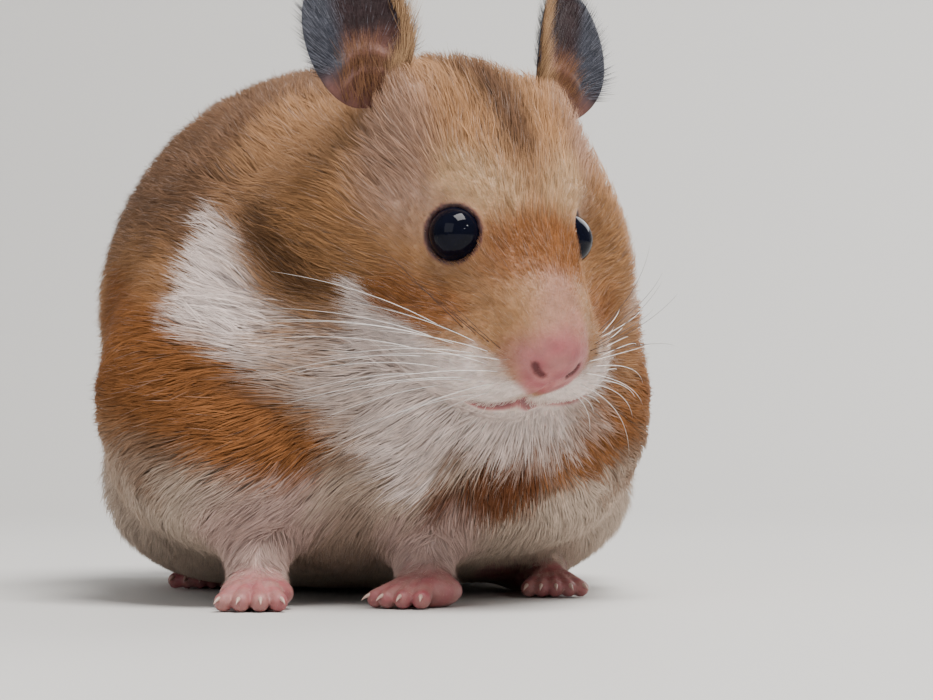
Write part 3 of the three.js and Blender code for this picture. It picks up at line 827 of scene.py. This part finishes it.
def ear_mesh(side):
    """A thin cupped leaf with folds at the bottom of its opening, and its colours."""
    (front, front_colours), (back, back_colours) = ear_face(side, 1), ear_face(side, -1)
    ring = np.arange(EAR_ROUND)
    ahead = (ring + 1) % EAR_ROUND
    rim = (EAR_RINGS - 1) * EAR_ROUND
    back_start = len(front)
    quads = []
    for n in range(EAR_RINGS - 1):
        a, b = n * EAR_ROUND, (n + 1) * EAR_ROUND
        quads.append(np.stack([a + ring, b + ring, b + ahead, a + ahead], 1))
        back_a = back_start + a
        back_b = rim if n == EAR_RINGS - 2 else back_start + b
        quads.append(np.stack([back_a + ahead, back_b + ahead, back_b + ring, back_a + ring], 1))
    front_middle = np.full_like(ring, len(front) - 1)
    back_middle = np.full_like(ring, back_start + len(back) - 1)
    faces = np.concatenate([
        split(np.concatenate(quads)),
        np.stack([front_middle, ring, ahead], 1),
        np.stack([back_middle, back_start + ahead, back_start + ring], 1),
    ])
    return np.concatenate([front, back]), faces, np.concatenate([front_colours, back_colours])


# Planes of the grid, closest together at the head.
GRID = [
    axis_marks([(-37, 0.8), (-20, 0.42), (3, 0.32), (29, 0.5), (33, 0.8), (38, 0)]),
    axis_marks([(-59, 0.32), (-45, 0.42), (-36, 0.5), (-14, 0.7), (58, 0)]),
    axis_marks([(-0.6, 0.4), (6, 0.6), (20, 0.34), (48, 0.6), (75, 0)]),
]


def build_skin():
    points, quads = surface_net(skin, GRID)
    points = in_chunks(lambda p: settle(skin, p, 0, 0.3, rounds=2), points, size=100000)
    faces = split(quads)
    piece = new_mesh("skin", points, faces, SKIN)
    set_colours(piece, skin_colour(points))
    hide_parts(*FLESH)
    return points, faces


def build_ears():
    for name, side in SIDES.items():
        points, faces, colours = ear_mesh(side)
        piece = new_mesh(f"ear_skin_{name}", points, faces, EAR_SKIN)
        set_colours(piece, colours)


# ---- the coat
COAT_SEED = 11
EAR_SEED = 8
WHISKER_SEED = 5
TRIANGLES_PER_PIECE = 190000
TUFT_CHUNK = 60000
PATCH = 0.0015  # half the width of a tuft's patch in the OFBake map
LOCK_OF = 12  # tufts in a lock
OWN_SHADING = 0.45  # how far a tuft's own roundness shows in its shading
GUARD_SHARE = 0.06  # share of long, thin, dark guard hairs
PALE_SHARE = 0.06  # share of tufts with a pale tip
ROOT_SINK = 0.12  # how deep a tuft's root stands in the skin

# Tufts are three-sided spikes. A long one has a ring of three points at its root and at its middle,
# then its tip, and a short one lacks the middle ring. 'patch' is its place in the OFBake map.
LONG = dict(
    name="long", count=30000, points=7,
    faces=[(0, 2, 1), (0, 1, 4), (0, 4, 3), (1, 2, 5), (1, 5, 4), (2, 0, 3), (2, 3, 5),
           (3, 4, 6), (4, 5, 6), (5, 3, 6)],
    patch=[(-1, -1), (0, -1), (1, -1), (-0.7, 0.1), (0, 0.1), (0.7, 0.1), (0, 1)],
)
SHORT = dict(
    name="short", count=270000, points=4,
    faces=[(0, 2, 1), (0, 1, 3), (1, 2, 3), (2, 0, 3)],
    patch=[(-1, -1), (0, -1), (1, -1), (0, 1)],
)


LEAST_REACH, MOST_REACH = 0.8, 5.0


def breast(p):
    """1 on the breast, the throat and under the belly, where the coat hangs in long locks."""
    front = smooth(-22, -34, p[:, 1]) * smooth(34, 26, p[:, 2]) * smooth(7, 11, p[:, 2])
    return front * smooth(-2, -5, to_head(p)[:, 2] + 8)


def coat_reach(p):
    """Length of the tufts that grow at points on the skin."""
    q = to_head(p)
    m = mirrored(q)
    reach = np.clip(0.35 + 0.13 * ball(q, NOSE_TIP, 0), LEAST_REACH, MOST_REACH)
    reach = reach + 2.2 * breast(p)
    reach = np.minimum(reach, 0.6 + 0.5 * np.maximum(ball(m, EYE_AT, EYE_RADIUS), 0))
    reach = np.minimum(reach, 0.5 + 0.9 * chain(m, MOUTH, 0))
    return np.minimum(reach, np.maximum(0.5 * p[:, 2] - 0.6, LEAST_REACH))


def coat_density(p, kind):
    reach = coat_reach(p)
    covered = (1 - 0.92 * bareness(p)[0]) * smooth(0.3, 0.9, p[:, 2])
    if kind is LONG:
        return covered * (0.12 * smooth(2, 4, reach) + breast(p))
    return covered * (1 - 0.6 * breast(p)) / (0.10 + 0.07 * reach)


def scatter(points, faces, kind, chance):
    """Random places on the skin, closer together where the coat is short and fine."""
    a, b, c = (points[faces[:, n]] for n in range(3))
    weight = np.cumsum(length(np.cross(b - a, c - a)) * coat_density((a + b + c) / 3, kind))
    count = kind["count"]
    chosen = np.searchsorted(weight, chance.random(count) * weight[-1])
    chosen = np.minimum(chosen, len(faces) - 1)
    s = np.sqrt(chance.random(count))[:, None].astype(F32)
    t = chance.random(count)[:, None].astype(F32)
    return a[chosen] * (1 - s) + b[chosen] * s * (1 - t) + c[chosen] * s * t


def comb(p, normal):
    """The lie of the coat: away from the nose over the head, then back and down over the body."""
    from_nose = p - from_head([NOSE_TIP])
    back = np.zeros_like(p)
    back[:, 1] = 1
    back[:, 2] = -0.22 - 0.9 * smooth(15, 45, p[:, 1]) - 0.6 * smooth(26, 8, p[:, 2])
    flow = mix(back, unit(from_nose), smooth(62, 26, length(from_nose)))
    leg = smooth(14, 6, p[:, 2]) * smooth(-18, -30, p[:, 1])
    flow = mix(flow, vec([0, -0.1, -1]), leg)
    flow = flow - dot(flow, normal)[:, None] * normal
    across = np.cross(normal, unit(flow))
    turn = (0.20 * wobble(p, 11, 21) + 0.10 * wobble(p, 4, 22))[:, None]
    return unit(unit(flow) * np.cos(turn) + across * np.sin(turn))


def nearest_leader(roots, leaders):
    tree = kdtree.KDTree(len(leaders))
    for n, place in enumerate(leaders):
        tree.insert(place, n)
    tree.balance()
    return np.array([tree.find(place)[1] for place in roots])


def settle_tufts(points, level, most):
    return in_chunks(lambda p, own: settle(skin, p, own, most), points, level, size=TUFT_CHUNK)


def grow(roots, normal, chance):
    """Each tuft's middle and tip. Neighbours lean together into locks."""
    count = len(roots)
    reach = coat_reach(roots)
    depth = np.maximum(coat_depth(roots, to_head(roots)), 0.1)
    lie = comb(roots, normal)
    leaders = np.arange(0, count, LOCK_OF)
    lock = nearest_leader(roots, roots[leaders])
    lock_chance = chance.normal(size=(len(leaders), 3)).astype(F32)
    across = np.cross(normal, lie)
    sway = (0.11 * lock_chance[lock, 0] + 0.09 * chance.normal(size=count)).astype(F32)[:, None]
    heading = unit(lie * np.cos(sway) + across * np.sin(sway))
    guard = (chance.random(count) < GUARD_SHARE) & (reach > 3.5)
    stretch = np.exp(0.10 * lock_chance[lock, 1] + 0.12 * chance.normal(size=count))
    own_reach = reach * stretch.astype(F32)
    own_reach = np.where(guard, own_reach * 1.15, own_reach)
    tips = roots + heading * own_reach[:, None]
    lead = leaders[lock]
    lead_tips = roots[lead] + heading[lead] * own_reach[lead][:, None]
    tips = mix(tips, lead_tips, 0.30 * smooth(1.2, 4, reach))
    bow = (heading - unit(tips - roots)) * (own_reach * 0.12)[:, None]
    middles = roots + (tips - roots) * 0.45 + bow
    rise = np.exp(0.10 * lock_chance[lock, 2] + 0.10 * chance.normal(size=count)).astype(F32)
    rise = np.where(guard, rise * 1.3, rise)
    middles = settle_tufts(middles, depth * 0.74 * np.minimum(rise, 1.2), most=2.0)
    tips = settle_tufts(tips, depth * 0.98 * rise, most=4.0)
    half_width = np.clip(0.020 + 0.0085 * reach, 0.027, 0.066)
    return middles, tips, np.where(guard, half_width * 0.6, half_width).astype(F32), guard, lock


def coat_colours(roots, tips, guard, lock, chance):
    """Colour at root, middle and tip: the roots darker as painted shade deep in the coat, some hair
    ends dark, most of it on the agouti back.
    """
    count = len(roots)
    place = roots + (tips - roots) * 0.7 + chance.normal(scale=0.5, size=(count, 3)).astype(F32)
    colour = coat_colour(place)
    agouti = np.exp(-((length(colour - AGOUTI) / 0.07) ** 2))
    lock_shade = chance.normal(size=lock.max() + 1)[lock]
    own_shade = (0.08 + 0.08 * agouti) * chance.normal(size=count)
    colour = colour * np.exp(0.06 * lock_shade + own_shade).astype(F32)[:, None]
    ticked = chance.random(count) < 0.07 + 0.5 * agouti
    darkened = colour * (0.4 + 0.25 * chance.random(count)[:, None])
    tip = np.where(ticked[:, None], darkened, colour * 1.06)
    pale = (chance.random(count) < PALE_SHARE)[:, None]
    tip = np.where(pale, tip * 0.65 + WHITE * 0.35, tip)
    tip = np.where((guard & (agouti > 0.3))[:, None], colour * 0.4, tip)
    # Painted shade: the root of each tuft is darker than its middle.
    return (colour * 0.84).astype(F32), colour.astype(F32), tip.astype(F32)


def spikes(kind, roots, middles, tips, half_width, normal):
    """The points of all tufts, flattened a little against the skin."""
    points = np.empty((len(roots), kind["points"], 3), F32)
    axis = unit(tips - roots)
    across = unit(np.cross(normal, axis))
    up = np.cross(axis, across)
    rings = [(roots - normal * ROOT_SINK, 1.0)] + ([(middles, 0.9)] if kind is LONG else [])
    for ring, (centre, scale) in enumerate(rings):
        for corner in range(3):
            angle = math.radians(90 + 120 * corner)
            offset = across * math.cos(angle) + up * (0.6 * math.sin(angle))
            points[:, 3 * ring + corner] = centre + offset * (half_width * scale * 1.15)[:, None]
    points[:, -1] = tips
    return points


def unwrap(roots, region):
    """Where each root lies on an unrolled skin: the head like a globe, the body like a barrel."""
    if region == "head":
        q = to_head(roots)
        u = np.arctan2(q[:, 0], -q[:, 1])
        v = np.arctan2(q[:, 2], np.hypot(q[:, 0], q[:, 1]))
    elif region == "legs":
        u = np.arctan2(roots[:, 0] - SPINE_X, roots[:, 1])
        v = roots[:, 2] + 0.2 * roots[:, 1]
    else:
        u = np.arctan2(roots[:, 0] - SPINE_X, roots[:, 2] - 32)
        v = roots[:, 1]
    uv = np.stack([u, v], 1)
    low, high = uv.min(0), uv.max(0)
    return 0.005 + 0.99 * (uv - low) / np.maximum(high - low, 1e-6)


def coat_piece(name, region, kind, roots, normal, points, colours):
    """One mesh of tufts, shaded softly, as the skin under them turns to the light."""
    count = len(roots)
    starts = kind["points"] * np.arange(count)[:, None, None]
    faces = (np.array(kind["faces"])[None] + starts).reshape(-1, 3)
    piece = new_mesh(name, points.reshape(-1, 3), faces, FUR)
    root, middle, tip = colours
    rings = [root] * 3 + ([middle] * 3 if kind is LONG else []) + [tip]
    set_colours(piece, np.stack(rings, 1).reshape(-1, 3))
    places = unwrap(roots, region)[:, None] + np.array(kind["patch"])[None] * PATCH
    uv = places.reshape(-1, 2)[faces.ravel()].astype(F32)
    layer = piece.data.uv_layers.new(name="OFBake")
    layer.data.foreach_set("uv", uv.ravel())
    own = np.empty(points.size, F32)
    piece.data.vertex_normals.foreach_get("vector", own)
    soft = unit(np.repeat(normal, kind["points"], axis=0) + own.reshape(-1, 3) * OWN_SHADING)
    piece.data.normals_split_custom_set_from_vertices(soft)


REGION_SLOTS = dict(head="face_fur", shoulders="white_fur", back="body_fur", legs="white_fur")


def region_of(roots):
    trunk = forms_distance(roots - vec([SPINE_X, 0, 0]), TRUNK_FORMS)
    head = forms_distance(to_head(roots), HEAD_FORMS) < trunk
    legs = (roots[:, 2] < 12) & ~head
    trunk_region = np.where(roots[:, 1] < -12, "shoulders", "back")
    return np.where(head, "head", np.where(legs, "legs", trunk_region))


def build_coat(skin_points, skin_faces):
    for kind in (LONG, SHORT):
        chance = np.random.default_rng(COAT_SEED)
        roots = scatter(skin_points, skin_faces, kind, chance)
        normal = in_chunks(lambda p: unit(gradient(skin, p)), roots, size=TUFT_CHUNK)
        middles, tips, half_width, guard, lock = grow(roots, normal, chance)
        colours = coat_colours(roots, tips, guard, lock, chance)
        points = spikes(kind, roots, middles, tips, half_width, normal)
        regions = region_of(roots)
        most = TRIANGLES_PER_PIECE // len(kind["faces"])
        for region, slot in REGION_SLOTS.items():
            members = np.flatnonzero(regions == region)
            members = members[np.argsort(roots[members, 1], kind="stable")]
            for n in range(0, len(members), most):
                part = members[n:n + most]
                name = f"coat_{region}_{kind['name']}_{n // most + 1}"
                coat_piece(name, region, kind, roots[part], normal[part], points[part],
                           [colour[part] for colour in colours])


def hair_piece(name, roots, tips, half_width, normal, colours):
    """A mesh of short hairs off the body's skin, such as those of the ears."""
    points = spikes(SHORT, roots, None, tips, half_width.astype(F32), normal)
    # Painted shade: the roots of these hairs are darker than their tips.
    shades = (colours * 0.8, None, colours)
    coat_piece(name, "head", SHORT, roots, normal, points, shades)


EAR_DOWN = 2600
EAR_FRINGE = 1700


def ear_surface(side, u, v, lift):
    return ear_point(side, u, v, ear_middle(u, v) + lift)


def ear_normals(side, face, count):
    return np.repeat((ear_frame(side)[2] * face @ HEAD_TURN.T)[None], count, 0)


def ear_down(side, face, chance):
    """Fine hairs that fan out over one face of an ear."""
    angle = chance.random(EAR_DOWN) * 2 * math.pi
    r = np.sqrt(chance.random(EAR_DOWN)) * 0.97
    u, v = ear_outline(r, angle)
    shown = v > 4.5
    u, v, r = u[shown], v[shown], r[shown]
    count = len(u)
    out = np.stack([u, v - 2.5], 1)
    out /= np.maximum(np.linalg.norm(out, axis=1), 0.1)[:, None]
    span = chance.uniform(1.2, 2.4, count)
    roots = ear_surface(side, u, v, face * 0.38)
    lift = face * chance.uniform(0.5, 0.8, count)
    tips = ear_surface(side, u + out[:, 0] * span, v + out[:, 1] * span, lift)
    banded = np.ones(count) if face < 0 else smooth(0.0, 0.4, side * u / EAR_HALF_WIDTH)
    pale = (chance.random(count) < 0.5 * banded + 0.06)[:, None]
    own = ear_colour(side, u, v, r, face)
    colour = np.where(pale, own * 0.35 + PALE_SLATE * 0.65, own * 0.8)
    return roots, tips, np.full(count, 0.020), ear_normals(side, face, count), colour


def ear_fringe(side, chance):
    """Tan fur that stands up along the inner edge of an ear and before its opening."""
    count = EAR_FRINGE
    share = chance.random(count)
    inner = chance.random(count) < 0.6
    r = np.where(inner, chance.uniform(0.80, 1.0, count), chance.uniform(0.35, 1.0, count))
    degrees = np.where(inner, 62 + 98 * share, 145 + 70 * share)
    u, v = ear_outline(r, -side * np.radians(degrees))
    span = chance.uniform(2.4, 5.6, count) * (1 - 0.4 * v / EAR_HEIGHT)
    sway = chance.normal(0, 0.18, count) - side * np.where(inner, 0.22, 0.0)
    roots = ear_surface(side, u, v, 0.2)
    lift = 0.6 + chance.uniform(0.1, 0.45, count) * span
    tips = ear_surface(side, u + sway * span, v + span * 0.9, lift)
    shade = np.exp(chance.normal(0, 0.15, count))[:, None]
    dark = (chance.random(count) < 0.2)[:, None]
    tan = np.where(inner[:, None], LIGHT_TAN, EAR_TUFT_BROWN)
    colour = np.where(dark, DARK_BROWN, tan) * shade
    half_width = chance.uniform(0.022, 0.036, count)
    return roots, tips, half_width, ear_normals(side, 1, count), colour


def build_ear_hair():
    chance = np.random.default_rng(EAR_SEED)
    for name, side in SIDES.items():
        hair_piece(f"ear_down_{name}", *ear_down(side, 1, chance))
        hair_piece(f"ear_back_{name}", *ear_down(side, -1, chance))
        hair_piece(f"ear_fringe_{name}", *ear_fringe(side, chance))


# ---- eyes, claws, whiskers
EYE_ROWS, EYE_ROUND = 32, 48
CORNEA_BULGE = 0.035


def globe():
    """Points and triangles of a ball of radius 1, its pole with the cornea at +Z."""
    polar = np.repeat(np.arange(EYE_ROWS + 1) * math.pi / EYE_ROWS, EYE_ROUND)
    turn = np.tile(np.arange(EYE_ROUND) * 2 * math.pi / EYE_ROUND, EYE_ROWS + 1)
    out = np.sin(polar)
    points = np.stack([out * np.cos(turn), out * np.sin(turn), np.cos(polar)], 1)
    points *= 1 + CORNEA_BULGE * np.clip(points[:, 2:], 0, 1) ** 4
    faces = []
    for i in range(EYE_ROWS):
        for j in range(EYE_ROUND):
            a, b = i * EYE_ROUND + j, i * EYE_ROUND + (j + 1) % EYE_ROUND
            if i > 0:
                faces.append((a, a + EYE_ROUND, b))
            if i < EYE_ROWS - 1:
                faces.append((b, a + EYE_ROUND, b + EYE_ROUND))
    return points, np.array(faces)


def build_eyes():
    material = eye_material()
    ball_points, faces = globe()
    for name, side in SIDES.items():
        axis = Vector(on_side(side, EYE_AXIS))
        turn = np.array(Vector((0, 0, 1)).rotation_difference(axis).to_matrix())
        points = on_side(side, EYE_AT) + ball_points * EYE_RADIUS @ turn.T
        piece = new_mesh(f"eyeball_{name}", from_head(points), faces, material)
        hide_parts(f"eye_{name}")


TUBE_GUIDE = (0.3, 0.2, 0.93)  # no tube runs along it


def tube(path, radii, sides):
    """Points and triangles of a closed tapering tube along a path."""
    ahead = normed(np.gradient(path, axis=0))
    across = normed(np.cross(ahead, TUBE_GUIDE))
    angle = (2 * math.pi * np.arange(sides) / sides)[:, None]
    offset = across[:, None] * np.cos(angle) + np.cross(ahead, across)[:, None] * np.sin(angle)
    rings = path[:, None] + radii[:, None, None] * offset
    points = np.concatenate([rings.reshape(-1, 3), path[:1], path[-1:]])
    first, last = len(points) - 2, len(points) - 1
    faces = []
    for i in range(len(path) - 1):
        for n in range(sides):
            a, b = i * sides + n, i * sides + (n + 1) % sides
            faces += [(a, b, b + sides), (a, b + sides, a + sides)]
    end = (len(path) - 1) * sides
    for n in range(sides):
        m = (n + 1) % sides
        faces += [(first, m, n), (last, end + n, end + m)]
    return points, np.array(faces)


def joined(parts):
    points, faces, start = [], [], 0
    for part_points, part_faces in parts:
        points.append(part_points)
        faces.append(part_faces + start)
        start += len(part_points)
    return np.concatenate(points), np.concatenate(faces)


CLAW_LENGTH = 1.4
CLAW_RADIUS = 0.27


def build_claws():
    parts = []
    share = np.linspace(0, 1, 7)[:, None]
    radii = CLAW_RADIUS * (1 - share[:, 0] ** 1.5) + 0.03
    for foot, kind, turn in FEET:
        for start, end in foot_toes(foot, kind, turn):
            start, end = np.array(start), np.array(end)
            out = normed((end - start) * (1, 1, 0))
            root = end + out * 0.45 + np.array([0, 0, 0.4])
            rise = (0.15 * share - 0.7 * share * share) * (0, 0, 1)
            parts.append(tube(root + out * CLAW_LENGTH * share + rise, radii, 8))
    points, faces = joined(parts)
    piece = new_mesh("claws", points.astype(F32), faces, CLAW_HORN)
    set_colours(piece, np.repeat(CLAW[None], len(points), 0))


# Rows of whiskers from the top of the lip down: how many, the height of their roots, how steeply
# they rise, the range of their lengths, how far they droop, and the share that is dark.
WHISKER_ROWS = [
    dict(count=4, height=-4.4, rise=0.55, span=(13, 19), droop=0.02, dark=1.0),
    dict(count=5, height=-5.6, rise=0.22, span=(15, 22), droop=0.22, dark=0.4),
    dict(count=6, height=-6.8, rise=0.0, span=(15, 23), droop=0.32, dark=0.0),
    dict(count=6, height=-8.0, rise=-0.2, span=(13, 20), droop=0.36, dark=0.0),
    dict(count=5, height=-9.2, rise=-0.42, span=(9, 15), droop=0.34, dark=0.0),
]


WHISKER_RADIUS = 0.038


def whisker(side, row, column, chance):
    root = np.array([side * (5.6 + 1.0 * column), -20.6 + 1.1 * column, row["height"]])
    root = settle(skin, from_head([root]), 0, 2.0, rounds=4)[0]
    span = chance.uniform(*row["span"]) * (0.8 + 0.05 * column)
    back = 0.05 + 0.16 * column + chance.normal(0, 0.08)
    out = normed(np.array([side, back, row["rise"] + chance.normal(0, 0.07)]))
    bend = np.array([-side * 0.08, 0.25, -row["droop"] - chance.uniform(0, 0.12)])
    t = np.linspace(0, 1, 14)[:, None]
    path = root + (out * t * span + bend * t ** 2 * span) @ HEAD_TURN.T
    return tube(path, WHISKER_RADIUS * (1 - t[:, 0]) ** 0.8 + 0.007, 5)


def build_whiskers():
    chance = np.random.default_rng(WHISKER_SEED)
    parts, colours = [], []
    for side in (LEFT, RIGHT):
        for row in WHISKER_ROWS:
            for column in range(row["count"]):
                parts.append(whisker(side, row, column, chance))
                tone = WHISKER_DARK if chance.random() < row["dark"] else WHISKER_WHITE
                colours.append(np.repeat(tone[None], len(parts[-1][0]), 0))
    points, faces = joined(parts)
    piece = new_mesh("whiskers", points.astype(F32), faces, HAIR)
    set_colours(piece, np.concatenate(colours))


# ---- stage, lights and camera
STAGE_HALF_WIDTH = 1.6
STAGE_FRONT, STAGE_BEND, STAGE_TOP = -0.9, 0.35, 1.3
BEND_RADIUS, BEND_STEPS = 0.25, 12


def build_stage():
    """A pale floor that curves up behind the animal."""
    profile = [(STAGE_FRONT, 0), (STAGE_BEND, 0)]
    for n in range(1, BEND_STEPS + 1):
        angle = math.radians(90 * n / BEND_STEPS)
        back, up = BEND_RADIUS * math.sin(angle), BEND_RADIUS * (1 - math.cos(angle))
        profile.append((STAGE_BEND + back, up))
    profile.append((STAGE_BEND + BEND_RADIUS, STAGE_TOP))
    vertices = [(x, y, z) for y, z in profile for x in (-STAGE_HALF_WIDTH, STAGE_HALF_WIDTH)]
    faces = [(2 * n, 2 * n + 1, 2 * n + 3, 2 * n + 2) for n in range(len(profile) - 1)]
    mesh = bpy.data.meshes.new("floor")
    mesh.from_pydata(vertices, [], faces)
    mesh.shade_smooth()
    material, _, _ = new_material("pale_floor", Base_Color=(0.62, 0.61, 0.59, 1), Roughness=0.6)
    mesh.materials.append(material)
    add_object("floor", mesh)


# Square lamps: place in metres, side, watts, colour. The sparks give the eyes their highlights.
LAMPS = {
    "key": ((0.16, -0.27, 0.80), 0.42, 12.5, (1, 0.97, 0.94)),
    "fill": ((-0.45, -0.7, 0.40), 0.6, 2.0, (0.95, 0.97, 1)),
    "rim": ((0.45, 0.40, 0.45), 0.4, 3.0, (1, 1, 1)),
    "spark": ((0.36, -0.34, 0.30), 0.03, 0.25, (1, 1, 1)),
    "small_spark": ((0.28, -0.44, 0.20), 0.018, 0.08, (1, 1, 1)),
}
LAMP_TARGET = Vector((0, -0.02, 0.035))


def build_lights():
    for name, (at, size, power, colour) in LAMPS.items():
        light = bpy.data.lights.new(name, "AREA")
        light.size = size
        light.energy = power
        light.color = colour
        lamp = add_object(name, light)
        lamp.location = at
        lamp.rotation_euler = (LAMP_TARGET - Vector(at)).to_track_quat("-Z", "Y").to_euler()
    world = bpy.data.worlds.new("room")
    world.use_nodes = True
    background = world.node_tree.nodes["Background"]
    set_sockets(background, dict(Color=(0.92, 0.95, 1, 1), Strength=0.25))
    bpy.context.scene.world = world


CAMERA_AT = (-0.01128, -0.35112, 0.018)
CAMERA_PITCH, CAMERA_YAW = 92.01, -4
CAMERA_LENS = 106.5


def build_camera():
    """The photo's point of view."""
    camera = bpy.data.cameras.new("camera")
    camera.sensor_width = 36
    camera.lens = CAMERA_LENS
    camera.clip_start = 0.01
    stand = add_object("camera", camera)
    stand.location = CAMERA_AT
    stand.rotation_euler = (math.radians(CAMERA_PITCH), 0, math.radians(CAMERA_YAW))
    bpy.context.scene.camera = stand


skin_points, skin_faces = build_skin()
build_ears()
build_coat(skin_points, skin_faces)
build_ear_hair()
build_eyes()
build_claws()
build_whiskers()
build_stage()
build_lights()
build_camera()
